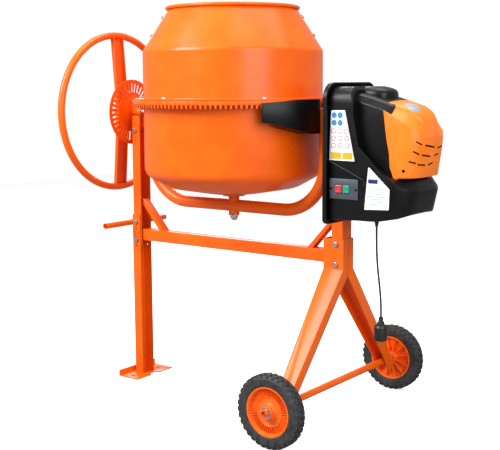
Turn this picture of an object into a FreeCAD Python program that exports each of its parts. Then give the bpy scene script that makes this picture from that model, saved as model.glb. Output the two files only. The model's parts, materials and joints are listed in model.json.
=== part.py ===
import FreeCAD, Part
import math
import os
import re
import Sketcher

# Tilting-drum concrete mixer, millimetres. X points from the hand wheel to the motor housing,
# Y to the rear wheel, Z up. Sizes are written from the drum's own axis, and every sub-part is then
# moved along X by the same amount, so that the origin is under the middle of the whole mixer.

Vector = FreeCAD.Vector
upright = Vector(0, 0, 1)

sizes = {
    # heights and reaches of the whole machine
    "tiltHeight": 1034,
    # drum
    "drumRadius": 320, "drumWall": 2.5, "dishInner": 100, "dishMiddle": 235, "dishMiddleRise": 24,
    "dishRise": 71, "dishSoft": 200, "dishCorner": 60, "seamFlange": 30, "upperFlange": 32,
    "coneSoft": 52, "mouthRadius": 227, "coneWallAcross": 3, "beadTube": 6.5, "beadShift": 5,
    "paddleGap": 20, "paddleWidth": 65, "paddlePlate": 5, "paddleFootHalf": 15, "paddleAngle": 37,
    # ring gear and pinion
    "ringBand": 14, "toothDepth": 13.5, "ringTeeth": 132, "ringSegments": 4, "segmentGap": 0.5,
    "ringToothRoot": 9.2, "ringToothTip": 3.4, "pinionTeeth": 12, "pinionTip": 36.3,
    "pinionRoot": 23, "pinionToothRoot": 8.2, "pinionToothTip": 3.2, "drumBolts": 6,
    "firstDrumBolt": -34.6,
    # spindle under the drum
    "spindleRadius": 10, "spindleHead": 28, "hubRadius": 41, "hubThick": 12, "sleeveRadius": 19.5,
    "sleeveBore": 14, "bushLength": 20, "nutAcross": 27, "nutHeight": 13, "nutWasher": 26.5,
    "nutWasherThick": 2.5,
    # yoke
    "yokeTube": 22, "yokeWall": 3, "yokeBend": 171, "armAbove": 22, "leftShaft": 12.5,
    "rightTube": 15, "rightTubeBore": 13, "pinionShaft": 10,
    # pinion guard
    "guardRadius": 321.8, "guardWall": 3, "guardHalf": 224, "guardMiddle": 62, "guardArmGap": 1.5,
    # running and assembly clearances
    "runFit": 0.06, "boltFit": 0.3, "fitGap": 0.5,
    # stand, left side
    "postHalf": 28, "postWall": 3.5, "postLow": 515, "legHalf": 32, "legTop": 639, "bendSoft": 5,
    "footHalf": 103, "footThick": 4, "footLip": 24, "footNotch": 17, "footNotchHalf": 20,
    "footHoleY": 72, "footHole": 6, "leftBoltHigh": 610, "leftBoltLow": 540, "spareHole": 4,
    "spareDrop": 25,
    # stand, cross members
    "crossLow": 538, "crossHigh": 582, "crossHalf": 20, "crossWall": 3, "braceTop": 700,
    "braceDepth": 22, "braceHalf": 17, "braceWall": 3,
    # stand, right side
    "rightHalf": 28.5, "rightLow": 522, "headHalf": 32.5, "headTop": 624, "kneeHeight": 520,
    "axleHeight": 121.5, "axleHalf": 430, "axleRadius": 12.5, "axleWall": 3, "toeY": 363,
    "toeDrop": 15.5, "toeHalf": 22, "flangeY": 31, "flangeZ": 25, "rightBoltHigh": 606,
    "rightBoltLow": 537,
    # bearings on the posts
    "leftBearing": 17.5, "rightBearing": 19,
    # bolts and washers
    "boltRadius": 5, "boltHeadAcross": 17, "boltHead": 6.5, "boltNut": 3.6, "smallBolt": 4,
    "smallHeadAcross": 13, "smallHead": 5.5, "smallNut": 6,
    # transport handle and hand wheel
    "carryRadius": 11, "carryWall": 2, "carryHalf": 170, "carryHeight": 605, "rimRadius": 294,
    "rimTube": 13.5, "rimWall": 2, "spokeHalf": 27.5, "spokeFlange": 15, "spokeWall": 3,
    "spokeDish": 18, "spokeKnee": 60, "wheelHub": 20, "lockTab": 5, "lockTabLow": 78,
    "lockTabHigh": 107,
    # slotted lock disc
    "discRadius": 124, "discThick": 3, "discDish": 8, "discDishOuter": 60, "discDishInner": 46,
    "slotLow": 76, "slotHigh": 109, "slotWidth": 7, "slots": 36,
    # wheels
    "tyreRadius": 121.5, "tyreInner": 81, "tyreHalf": 22, "tyreSide": 93, "tyreShoulder": 112,
    "treadHalf": 17, "wheelY": 391, "wheelHubHalf": 24, "wheelHubRadius": 22, "wheelDisc": 3,
    "rimRingHalf": 18, "rimRingInner": 74, "washerRadius": 20, "washerThick": 2.2, "washerGap": 0.4,
    "pinY": 423, "pinRadius": 2, "pinHalf": 18,
    # motor housing
    "plateDepth": 15, "plateWall": 3, "plateHalf": 158, "plateSoftHigh": 55, "plateSoftLow": 20,
    "plateBore": 21, "bodyHalf": 139, "bodyRound": 90, "bodyTopRound": 45, "housingWall": 4,
    "housingSoft": 10, "domeHalf": 105, "creaseFall": 82, "creaseIn": 16, "creaseInNose": 50,
    "tongueHalf": 60, "capRound": 60, "capWall": 3.5, "ventHalf": 2.5, "ventStep": 28, "ventY": 12,
    "ventGap": 12,
    # drive inside the housing
    "motorRadius": 60, "motorFootHalf": 40, "motorFootDrop": 67, "motorFootThick": 10,
    "rotorRadius": 8, "fanThick": 5, "fanRadius": 38, "pulleyWidth": 30, "bigPulley": 81,
    "smallPulley": 9, "beltThick": 4, "beltWidth": 20, "beltGap": 0.3, "pulleyFlange": 84,
    # switch
    "switchHalfX": 52.5, "switchHalfZ": 32.5, "switchPlate": 3, "switchBoxHalfX": 38,
    "switchBoxHalfZ": 25, "switchBoxDepth": 34, "buttonSide": 24, "buttonDeep": 17,
    "buttonProud": 5, "buttonFit": 0.4, "screwRadius": 4, "screwHead": 2, "screwReach": 44,
    # lead
    "glandY": -60, "glandRadius": 9, "glandNeck": 8, "glandTip": 5.5, "cordRadius": 3.5,
    "plugTop": 389, "plugLength": 78, "plugRadius": 22, "plugBoot": 8, "plugPin": 2.4,
    "plugPinGap": 9.5, "plugPinLength": 18,
}
# heights of what hangs on or carries the tilting axis, written from that axis
fromAxis = {
    # drum
    "dishBottom": -283, "seamHeight": 54.5, "coneStart": 221, "mouthHeight": 368,
    # spindle under the drum
    "spindleEnd": -384, "sleeveTop": -298, "sleeveBottom": -362,
    # yoke
    "yokeLow": -331,
    # pinion guard
    "guardEndLow": -18, "guardLow": -60, "guardEndHigh": 44, "guardHigh": 54,
    # stand, left side
    "postTop": -14, "postBoltHeight": -69,
    # motor housing
    "plateLow": -344, "plateHigh": 110, "backLow": -332, "bodyLow": -326, "bodyHigh": 96,
    "stepHeight": -92, "ledgeHeight": -182, "lipHeight": -202, "noseHigh": -226, "noseLow": -296,
    "chinLow": -317, "domeLow": -189, "domeHigh": 88, "domeEndHigh": 50, "domeCrease": 66,
    "capCrease": 20, "tongueHigh": 97, "tongueTip": 82, "capFrontHigh": 38, "capBrow": 16,
    "capCheek": -16, "capNoseHigh": -49, "capNoseLow": -84, "capChin": -188, "capFoot": -209,
    "ventHigh": -88,
    # drive inside the housing
    "motorHeight": -139,
    # switch
    "switchHeight": -226.5,
    # lead
    "glandLow": -350, "glandTop": -318,
}
# reaches of what stands beside the drum, written from the side of the drum
fromDrum = {
    # heights and reaches of the whole machine
    "noseReach": 476, "rimPlane": 257,
    # ring gear and pinion
    "ringInner": 14, "ringOuter": 38.5, "boltCircle": 23,
    # yoke
    "armReach": 73, "leftShaftEnd": 265, "rightTubeEnd": 185, "pinionShaftEnd": 229,
    # pinion guard
    "guardCentre": -256.8, "guardInner": 5,
    # stand, left side
    "leftWeb": 157, "postLip": 116, "legWeb": 161, "legLip": 120, "footLeft": 182, "footRight": 85,
    "footHoleX": 135, "leftBoltX": 140,
    # stand, cross members
    "braceFoot": 10,
    # stand, right side
    "rightWeb": 162, "rightLip": 117, "headLeft": 87, "headRight": 166, "axleX": 125,
    "rightBoltX": 137,
    # bearings on the posts
    "bearingInner": 121, "leftBearingEnd": 177, "rightBearingEnd": 161.5,
    # transport handle and hand wheel
    "hubEnd": 200, "lockTabEnd": 182,
    # slotted lock disc
    "discPlane": 180,
    # motor housing
    "plateX": 162, "bodyTopX": 263, "stepX": 283, "ledgeX": 384, "lipX": 437, "bodyNose": 457,
    "noseLowX": 442, "chinX": 396, "domeX": 200, "domeEnd": 360, "tongueX": 335, "capFrontX": 417,
    "capBrowX": 450, "capCheekX": 469, "capChinX": 448, "ventSideX": 436,
    # drive inside the housing
    "motorX": 240, "motorEnd": 395, "rotorStart": 194, "rotorEnd": 421, "fanX": 408, "pulleyX": 195,
    "beltX": 200,
    # switch
    "switchX": 232, "stopX": 215, "startX": 243,
    # lead
    "glandX": 308,
}
sizes.update(fromAxis)
sizes.update(fromDrum)

doc = FreeCAD.newDocument("ConcreteMixer")
sheet = doc.addObject("Spreadsheet::Sheet", "Sizes")
for row, (name, value) in enumerate(sizes.items(), start=1):
    sheet.set("A%d" % row, name)
    sheet.set("B%d" % row, str(value))
    sheet.setAlias("B%d" % row, name)
doc.recompute()

nodes = []
offsets = {}
middle = "(noseReach - rimPlane - rimTube) / 2"


def cells(text):
    """Turns the names of sizes into references to the sheet, each with the place it starts at."""
    def reference(found):
        word = found.group()
        if word in fromAxis:
            return "(Sizes.tiltHeight + Sizes.%s)" % word
        if word in fromDrum:
            return "(Sizes.drumRadius + Sizes.%s)" % word
        return "Sizes." + word if word in sizes else word
    return re.sub(r"[A-Za-z]+", reference, str(text))


def number(text):
    return float(sheet.evalExpression(cells(text)))


def bind(made, **properties):
    for name, text in properties.items():
        made.setExpression(name, cells(text))


def place(made, x, y, z):
    offsets[made.Name] = (x, y, z)
    made.setExpression("Placement.Base.x", cells(x))
    made.setExpression("Placement.Base.y", cells(y))
    made.setExpression("Placement.Base.z", cells(z))
    return made


def node(label, made, x="0", y="0", z="0"):
    """Names a finished sub-part and moves it into the mixer's own frame."""
    own = offsets.get(made.Name, ("0", "0", "0"))
    made.Label = label
    place(made, "%s + %s - %s" % (own[0], x, middle), "%s + %s" % (own[1], y),
          "%s + %s" % (own[2], z))
    nodes.append(made)
    return made


def shapeNode(label, shape):
    """A sub-part whose shape is made directly, for patterns at odd angles and for sweeps."""
    made = doc.addObject("Part::Feature", label)
    made.Shape = shape
    return node(label, made)


def turned(along):
    if along == "x":
        return FreeCAD.Rotation(Vector(0, 1, 0), 90)
    if along == "y":
        return FreeCAD.Rotation(Vector(1, 0, 0), -90)
    return FreeCAD.Rotation()


def cylinder(along, radius, length, x="0", y="0", z="0"):
    made = doc.addObject("Part::Cylinder", "Round")
    made.Placement = FreeCAD.Placement(Vector(), turned(along))
    bind(made, Radius=radius, Height=length)
    return place(made, x, y, z)


def cone(low, high, length, x, y, z):
    made = doc.addObject("Part::Cone", "Taper")
    bind(made, Radius1=low, Radius2=high, Height=length)
    return place(made, x, y, z)


def box(x, y, z, length, width, height):
    made = doc.addObject("Part::Box", "Block")
    bind(made, Length=length, Width=width, Height=height)
    return place(made, x, y, z)


def cut(base, *tools):
    made = base
    for tool in tools:
        result = doc.addObject("Part::Cut", "Cut")
        result.Base = made
        result.Tool = tool
        made = result
    return made


def fuse(*pieces):
    made = doc.addObject("Part::MultiFuse", "Fuse")
    made.Shapes = list(pieces)
    return made


def common(*pieces):
    made = doc.addObject("Part::MultiCommon", "Common")
    made.Shapes = list(pieces)
    return made


def group(*pieces):
    made = doc.addObject("Part::Compound", "Group")
    made.Links = list(pieces)
    return made


def tube(along, outer, inner, length, x="0", y="0", z="0"):
    return cut(cylinder(along, outer, length, x, y, z), cylinder(along, inner, length, x, y, z))


def originPlane(body, role):
    for datum in body.Origin.OriginFeatures:
        if datum.Role == role:
            return datum
    return None


def sketchOn(body, role, offset="0"):
    sketch = body.newObject("Sketcher::SketchObject", "Outline")
    sketch.AttachmentSupport = (originPlane(body, role), "")
    sketch.MapMode = "FlatFace"
    sketch.setExpression("AttachmentOffset.Base.z", cells(offset))
    return sketch


def pin(sketch, kind, geometry, point, text):
    """Ties one coordinate of a sketch point to the sheet."""
    index = sketch.addConstraint(Sketcher.Constraint(kind, -1, 1, geometry, point, number(text)))
    sketch.setExpression("Constraints[%d]" % index, cells(text))


def outline(body, role, corners, offset="0"):
    """A closed outline of straight sides through the given corners."""
    sketch = sketchOn(body, role, offset)
    points = [Vector(number(across), number(up), 0) for across, up in corners]
    count = len(points)
    for index in range(count):
        side = Part.LineSegment(points[index], points[(index + 1) % count])
        sketch.addGeometry(side, False)
    for index in range(count):
        sketch.addConstraint(Sketcher.Constraint("Coincident", index, 2, (index + 1) % count, 1))
    for index, (across, up) in enumerate(corners):
        pin(sketch, "DistanceX", index, 1, across)
        pin(sketch, "DistanceY", index, 1, up)
    return sketch


def circleSketch(body, role, across, up, radius):
    sketch = sketchOn(body, role)
    centre = Vector(number(across), number(up), 0)
    sketch.addGeometry(Part.Circle(centre, Vector(0, 0, 1), number(radius)), False)
    pin(sketch, "DistanceX", 0, 3, across)
    pin(sketch, "DistanceY", 0, 3, up)
    index = sketch.addConstraint(Sketcher.Constraint("Radius", 0, number(radius)))
    sketch.setExpression("Constraints[%d]" % index, cells(radius))
    return sketch


def prism(role, corners, length, offset="0"):
    """A body padded from a straight-sided outline."""
    body = doc.addObject("PartDesign::Body", "Prism")
    sketch = outline(body, role, corners, offset)
    pad = body.newObject("PartDesign::Pad", "Pad")
    pad.Profile = sketch
    bind(pad, Length=length)
    return body


def revolve(body, sketch, axis):
    turn = body.newObject("PartDesign::Revolution", "Turn")
    turn.Profile = sketch
    turn.ReferenceAxis = (sketch, [axis])
    turn.Angle = 360
    return body


def lathe(role, axis, corners):
    """A body turned about the sketch's own axis."""
    body = doc.addObject("PartDesign::Body", "Turned")
    return revolve(body, outline(body, role, corners), axis)


def rounded(body, radius, chosen):
    """Rounds the edges of a body's last feature that the test picks."""
    doc.recompute()
    base = body.Tip
    names = ["Edge%d" % (index + 1) for index, edge in enumerate(base.Shape.Edges) if chosen(edge)]
    fillet = body.newObject("PartDesign::Fillet", "Round")
    fillet.Base = (base, names)
    bind(fillet, Radius=radius)
    return body


def circleAt(radius, height, axis="z"):
    """Picks whole circular edges by radius and by height along their axis."""
    wantedRadius = number(radius)
    wantedHeight = number(height)

    def test(edge):
        if not isinstance(edge.Curve, Part.Circle):
            return False
        level = getattr(edge.Curve.Center, axis)
        return abs(edge.Curve.Radius - wantedRadius) < 0.05 and abs(level - wantedHeight) < 0.05
    return test


def sideAt(along, first, second):
    """Picks straight edges that run along one axis through a given place."""
    others = [name for name in "xyz" if name != along]

    def test(edge):
        if not isinstance(edge.Curve, Part.Line):
            return False
        start, end = (vertex.Point for vertex in edge.Vertexes)
        if any(abs(getattr(start, name) - getattr(end, name)) > 0.01 for name in others):
            return False
        across = abs(getattr(start, others[0]) - first)
        over = abs(getattr(start, others[1]) - second)
        return across < 0.05 and over < 0.05
    return test


def hexagon(across, height, start, direction):
    """A solid hexagonal prism."""
    corners = []
    for index in range(6):
        angle = math.radians(60 * index)
        reach = across / math.sqrt(3)
        corners.append(Vector(reach * math.cos(angle), reach * math.sin(angle), 0))
    face = Part.Face(Part.makePolygon(corners + corners[:1]))
    solid = face.extrude(Vector(0, 0, height))
    solid.Placement = FreeCAD.Placement(start, FreeCAD.Rotation(upright, direction))
    return solid


def bolt(seat, direction, across, head, radius, length):
    """A hexagon bolt whose head sits at seat; its shank runs the other way from direction."""
    top = hexagon(across, head, seat, direction)
    shank = Part.makeCylinder(radius, length, seat, direction * -1)
    return top.fuse(shank)


def nut(seat, direction, across, height, radius):
    """A hexagon nut that starts at seat and grows along direction."""
    solid = hexagon(across, height, seat, direction)
    return solid.cut(Part.makeCylinder(radius, height, seat, direction))


def bentWire(points, radii):
    """Straight runs joined by arcs that touch them."""
    edges = []
    start = points[0]
    for index in range(1, len(points) - 1):
        corner = points[index]
        into = (corner - points[index - 1]).normalize()
        out = (points[index + 1] - corner).normalize()
        turn = into.getAngle(out)
        reach = radii[index - 1] * math.tan(turn / 2)
        first = corner - into * reach
        last = corner + out * reach
        toCentre = (out - into).normalize()
        centre = corner + toCentre * (radii[index - 1] / math.cos(turn / 2))
        halfway = centre - toCentre * radii[index - 1]
        edges.append(Part.LineSegment(start, first).toShape())
        edges.append(Part.Arc(first, halfway, last).toShape())
        start = last
    edges.append(Part.LineSegment(start, points[-1]).toShape())
    return Part.Wire(edges)


def pipe(wire, radius):
    """A round bar along a wire."""
    start = wire.Edges[0].Vertexes[0].Point
    direction = wire.Edges[0].tangentAt(wire.Edges[0].FirstParameter)
    section = Part.Wire(Part.Circle(start, direction, radius).toShape())
    return wire.makePipeShell([section], True, False)


# ---- drum ----

def makeLowerDrum():
    inside = "drumRadius - drumWall"
    top = "seamHeight"
    under = "seamHeight - drumWall"
    flange = "drumRadius + seamFlange"
    middleZ = "dishBottom + dishMiddleRise"
    cornerZ = "dishBottom + dishRise"
    bore = "spindleRadius + boltFit"
    corners = [
        (bore, "dishBottom"), ("dishInner", "dishBottom"), ("dishMiddle", middleZ),
        ("drumRadius", cornerZ), ("drumRadius", under), (flange, under), (flange, top),
        (inside, top), (inside, cornerZ + " + drumWall * 0.6"),
        ("dishMiddle - drumWall * 0.5", middleZ + " + drumWall"),
        ("dishInner", "dishBottom + drumWall"), (bore, "dishBottom + drumWall"),
    ]
    body = lathe("XZ_Plane", "V_Axis", corners)
    rounded(body, "dishCorner", circleAt("drumRadius", cornerZ))
    rounded(body, "dishCorner - drumWall", circleAt(inside, cornerZ + " + drumWall * 0.6"))
    rounded(body, "dishSoft", circleAt("dishMiddle", middleZ))
    rounded(body, "dishSoft - drumWall", circleAt("dishMiddle - drumWall * 0.5",
                                                 middleZ + " + drumWall"))
    return node("lower_drum", cut(body, *drumBoltHoles()))


def makeUpperDrum():
    inside = "drumRadius - drumWall"
    bottom = "seamHeight"
    flange = "drumRadius + upperFlange"
    corners = [
        (inside, bottom), (flange, bottom), (flange, "seamHeight + drumWall"),
        ("drumRadius", "seamHeight + drumWall"), ("drumRadius", "coneStart"),
        ("mouthRadius", "mouthHeight"), ("mouthRadius - coneWallAcross", "mouthHeight"),
        (inside, "coneStart - 0.7"),
    ]
    body = lathe("XZ_Plane", "V_Axis", corners)
    bead = circleSketch(body, "XZ_Plane", "mouthRadius + beadShift", "mouthHeight + 2", "beadTube")
    revolve(body, bead, "V_Axis")
    rounded(body, "coneSoft", circleAt("drumRadius", "coneStart"))
    rounded(body, "coneSoft - drumWall", circleAt(inside, "coneStart - 0.7"))
    return node("upper_drum", cut(body, *drumBoltHoles(), *paddleBoltHoles()))


def drumBoltPlaces():
    count = int(number("drumBolts"))
    for index in range(count):
        angle = math.radians(number("firstDrumBolt") + 360.0 / count * index)
        yield Vector(math.cos(angle), math.sin(angle), 0) * number("boltCircle")


def drumBoltHoles():
    holes = []
    count = int(number("drumBolts"))
    for index in range(count):
        angle = "(firstDrumBolt + %d * 360 / drumBolts) * 1deg" % index
        holes.append(cylinder("z", "smallBolt + boltFit", "40", "boltCircle * cos(%s)" % angle,
                              "boltCircle * sin(%s)" % angle, "seamHeight - 20"))
    return [group(*holes)]


def coneFrame():
    """Slope of the upper cone: the way up along it and the way straight out of it."""
    rise = number("mouthHeight - coneStart")
    run = number("drumRadius - mouthRadius")
    along = Vector(-run, 0, rise).normalize()
    out = Vector(rise, 0, run).normalize()
    return along, out


def paddleBoltPlaces():
    """Outside ends of the two bolts of each paddle, and their directions."""
    along, out = coneFrame()
    start = Vector(number("drumRadius"), 0, number("coneStart"))
    length = number("mouthHeight - coneStart") / along.z
    for turn in (0, 180):
        spin = FreeCAD.Rotation(upright, number("paddleAngle") + turn)
        for share in (0.37, 0.8):
            yield spin.multVec(start + along * (length * share)), spin.multVec(out)


def paddleBoltHoles():
    radius = number("smallBolt + boltFit")
    holes = [Part.makeCylinder(radius, 30, place_ - out * 20, out)
             for place_, out in paddleBoltPlaces()]
    made = doc.addObject("Part::Feature", "PaddleHoles")
    made.Shape = Part.makeCompound(holes)
    return [made]


def makePaddle(index):
    """A flat blade standing along the wall, with a foot lying on the inside of the cone."""
    wall = "drumRadius - paddleGap"
    slope = "(drumRadius - mouthRadius) / (mouthHeight - coneStart)"
    inner = "(drumRadius - drumWall - coneWallAcross * 0.7)"
    lowZ = "(coneStart + 38)"
    highZ = "(mouthHeight - 16)"
    lowR = "(%s - 38 * %s)" % (inner, slope)
    highR = "(%s - (mouthHeight - 16 - coneStart) * %s)" % (inner, slope)
    blade = prism("XZ_Plane", [
        ("dishInner - 10", "dishBottom + 22"), ("dishMiddle - 20", "dishBottom + 46"),
        (wall, "dishBottom + dishRise + 32"), (wall, "coneStart - 25"), (lowR + " - 1", lowZ),
        (highR + " - 1", highZ), (highR + " - 30", "mouthHeight - 60"),
        (wall + " - paddleWidth", "coneStart - 40"),
        (wall + " - paddleWidth", "dishBottom + dishRise + 60"),
        ("dishMiddle - 60", "dishBottom + 100"), ("dishInner - 10", "dishBottom + 80"),
    ], "paddlePlate", "-paddlePlate / 2")
    foot = prism("XZ_Plane", [
        (lowR, lowZ), (highR, highZ), (highR + " - 5", highZ), (lowR + " - 5", lowZ),
    ], "paddleFootHalf * 2", "-paddleFootHalf")
    solid = fuse(blade, foot)
    spun = doc.addObject("Part::Compound", "Spun")
    spun.Links = [solid]
    solid.Placement = FreeCAD.Placement(
        Vector(), FreeCAD.Rotation(upright, number("paddleAngle") + 180 * index))
    drilled = cut(spun, *paddleBoltHoles())
    return node("mixing_paddle_%d" % (index + 1), drilled)


def makeDrumBolts():
    across = number("smallHeadAcross")
    head = number("smallHead")
    radius = number("smallBolt")
    top = number("seamHeight + drumWall")
    length = number("drumWall * 2 + ringBand - 1")
    made = [bolt(spot + upright * top, upright, across, head, radius, length)
            for spot in drumBoltPlaces()]
    for spot, out in paddleBoltPlaces():
        made.append(bolt(spot, out, across, head, radius, number("drumWall + 8")))
    return shapeNode("drum_bolts", Part.makeCompound(made))


def trapezium(root, tip, low, high):
    """A tooth's outline in the YZ plane, root side at low."""
    corners = [Vector(0, -root / 2, low), Vector(0, root / 2, low),
               Vector(0, tip / 2, high), Vector(0, -tip / 2, high)]
    return Part.Face(Part.makePolygon(corners + corners[:1]))


def makeRingSegment(index):
    inner = number("ringInner")
    outer = number("ringOuter")
    teeth = int(number("ringTeeth / ringSegments"))
    pitch = 360.0 / number("ringTeeth")
    bandTop = number("seamHeight - drumWall")
    bandLow = bandTop - number("ringBand")
    sweep = 360.0 / number("ringSegments")
    gap = math.degrees(number("segmentGap") / outer)
    band = Part.makeCylinder(outer, bandTop - bandLow, Vector(0, 0, bandLow), upright, sweep - gap)
    band = band.cut(Part.makeCylinder(inner, bandTop - bandLow, Vector(0, 0, bandLow)))
    band.rotate(Vector(), upright, sweep * index + gap / 2)
    face = trapezium(number("ringToothRoot"), number("ringToothTip"), bandLow + 0.01,
                     bandLow - number("toothDepth"))
    face.translate(Vector(inner, 0, 0))
    tooth = face.extrude(Vector(outer - inner, 0, 0))
    tooth = tooth.common(Part.makeCylinder(outer, 60, Vector(0, 0, bandLow - 40)))
    made = []
    for step in range(teeth):
        copy = tooth.copy()
        copy.rotate(Vector(), upright, sweep * index + pitch * (step + 0.5))
        made.append(copy)
    solid = band.multiFuse(made)
    radius = number("smallBolt")
    holes = [Part.makeCylinder(radius, bandTop - bandLow, spot + upright * bandLow)
             for spot in drumBoltPlaces()]
    return shapeNode("ring_gear_segment_%d" % (index + 1), solid.cut(Part.makeCompound(holes)))


def makeHub():
    flange = tube("z", "hubRadius", "spindleRadius", "hubThick", z="dishBottom - hubThick")
    node("hub_flange", flange)
    head = cylinder("z", "spindleHead", "7", z="dishBottom + drumWall")
    shank = cylinder("z", "spindleRadius", "dishBottom + drumWall + 1 - spindleEnd",
                     z="spindleEnd")
    node("drum_spindle", fuse(head, shank))
    washerLow = number("sleeveBottom - fitGap - nutWasherThick")
    nutHeight = number("nutHeight")
    radius = number("spindleRadius")
    washer = Part.makeCylinder(number("nutWasher"), number("nutWasherThick"),
                               Vector(0, 0, washerLow))
    body = hexagon(number("nutAcross"), nutHeight, Vector(0, 0, washerLow - nutHeight), upright)
    bore = Part.makeCylinder(radius, 60, Vector(0, 0, washerLow - 40))
    shapeNode("spindle_nut", washer.fuse(body).cut(bore))


# ---- yoke ----

def makeYoke():
    reach = number("armReach")
    low = number("yokeLow")
    bend = number("yokeBend")
    height = number("tiltHeight")
    outerTop = height + number("armAbove")
    wall = number("yokeWall")
    radius = number("yokeTube")

    def run(top):
        points = [Vector(-reach, 0, top), Vector(-reach, 0, low), Vector(reach, 0, low),
                  Vector(reach, 0, top)]
        return bentWire(points, [bend, bend])
    outer = pipe(run(outerTop), radius)
    sleeveLow = number("sleeveBottom")
    sleeveTop = number("sleeveTop")
    sleeve = Part.makeCylinder(number("sleeveRadius"), sleeveTop - sleeveLow,
                               Vector(0, 0, sleeveLow))
    bore = Part.makeCylinder(number("sleeveBore"), sleeveTop - sleeveLow, Vector(0, 0, sleeveLow))
    hollow = pipe(run(outerTop - wall), radius - wall).cut(sleeve)
    left = Part.makeCylinder(number("leftShaft"), 2 * radius + 2,
                             Vector(-reach - radius - 1, 0, height), Vector(1, 0, 0))
    right = Part.makeCylinder(number("rightTube"), 2 * radius + 2,
                              Vector(reach - radius - 1, 0, height), Vector(1, 0, 0))
    bracket = Part.makeBox(30, 30, 4, Vector(reach - radius - 28, -15,
                                             number("guardLow + guardWall")))
    solid = outer.cut(hollow).fuse(sleeve).cut(bore).cut(left).cut(right)
    shapeNode("yoke_tube", solid.fuse(bracket.cut(pipe(run(outerTop), radius))))
    node("left_trunnion", cylinder("x", "leftShaft", "leftShaftEnd - armReach + yokeTube",
                                   "-leftShaftEnd", "0", "tiltHeight"))
    node("right_trunnion", tube("x", "rightTube", "rightTubeBore",
                                "rightTubeEnd - armReach + yokeTube", "armReach - yokeTube", "0",
                                "tiltHeight"))
    bush = "spindleRadius + runFit"
    node("spindle_bushes", group(
        tube("z", "sleeveBore", bush, "bushLength", z="sleeveBottom"),
        tube("z", "sleeveBore", bush, "bushLength", z="sleeveTop - bushLength")))
    bush = "pinionShaft + runFit"
    node("pinion_bushes", group(
        tube("x", "rightTubeBore", bush, "bushLength", "armReach - yokeTube", "0", "tiltHeight"),
        tube("x", "rightTubeBore", bush, "bushLength", "rightTubeEnd - bushLength", "0",
             "tiltHeight")))


def makeGuard():
    """A curved wall outside the pinion, on a floor that reaches in under the ring gear."""
    def side(low, high, more):
        return [("-guardHalf - %d" % more, "guardEndLow + " + low),
                ("-guardMiddle", "guardLow + " + low), ("guardMiddle", "guardLow + " + low),
                ("guardHalf + %d" % more, "guardEndLow + " + low),
                ("guardHalf + %d" % more, "guardEndHigh + " + high),
                ("guardMiddle * 2", "guardHigh + " + high),
                ("-guardMiddle * 2", "guardHigh + " + high),
                ("-guardHalf - %d" % more, "guardEndHigh + " + high)]
    outer = common(prism("YZ_Plane", side("0", "0", 0), "guardRadius", "guardCentre + 60"),
                   cylinder("z", "guardRadius", "400", "guardCentre", "0", "guardLow - 100"))
    inner = common(prism("YZ_Plane", side("guardWall", "60", 20), "guardRadius",
                         "guardCentre + 40"),
                   cylinder("z", "guardRadius - guardWall", "400", "guardCentre", "0",
                            "guardLow - 100"))
    arm = cylinder("z", "yokeTube + guardArmGap", "400", "armReach", "0", "guardLow - 100")
    drum = cylinder("z", "guardInner", "400", "0", "0", "guardLow - 100")
    node("pinion_guard", cut(outer, inner, arm, drum))


# ---- drive ----

def makePinion():
    root = number("pinionRoot")
    tip = number("pinionTip")
    inner = number("ringInner")
    length = number("ringOuter - ringInner")
    height = number("tiltHeight")
    teeth = int(number("pinionTeeth"))
    axis = Vector(1, 0, 0)
    centre = Vector(inner, 0, height)
    core = Part.makeCylinder(root, length, centre, axis)
    face = trapezium(number("pinionToothRoot"), number("pinionToothTip"), root - 1, tip)
    face.translate(Vector(inner, 0, height))
    tooth = face.extrude(axis * length)
    made = []
    for step in range(teeth):
        copy = tooth.copy()
        copy.rotate(centre, axis, 360.0 / teeth * step)
        made.append(copy)
    bore = Part.makeCylinder(number("pinionShaft"), length, centre, axis)
    shapeNode("drive_pinion", core.multiFuse(made).cut(bore))
    node("pinion_shaft", cylinder("x", "pinionShaft", "pinionShaftEnd - ringInner", "ringInner",
                                  "0", "tiltHeight"))


def pulley(label, radius, bore, height):
    """A flat-belt pulley between two thin flanges, turned about X."""
    start = "pulleyX"
    end = "pulleyX + pulleyWidth"
    edge = "%s + 3" % radius
    body = lathe("XZ_Plane", "H_Axis", [
        (start, bore), (end, bore), (end, edge), (end + " - 2", edge), (end + " - 3", radius),
        (start + " + 3", radius), (start + " + 2", edge), (start, edge),
    ])
    node(label, body, z=height)


def beltFace(big, small, x):
    """The outline round two circles and their outer tangents."""
    top = number("tiltHeight")
    low = number("motorHeight")
    lean = math.acos((big - small) / (top - low))
    upperCentre = Vector(x, 0, top)
    lowerCentre = Vector(x, 0, low)
    right = Vector(0, math.sin(lean), -math.cos(lean))
    left = Vector(0, -math.sin(lean), -math.cos(lean))
    edges = [
        Part.Arc(upperCentre + right * big, upperCentre + upright * big,
                 upperCentre + left * big).toShape(),
        Part.LineSegment(upperCentre + left * big, lowerCentre + left * small).toShape(),
        Part.Arc(lowerCentre + left * small, lowerCentre - upright * small,
                 lowerCentre + right * small).toShape(),
        Part.LineSegment(lowerCentre + right * small, upperCentre + right * big).toShape(),
    ]
    return Part.Face(Part.Wire(edges))


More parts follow.
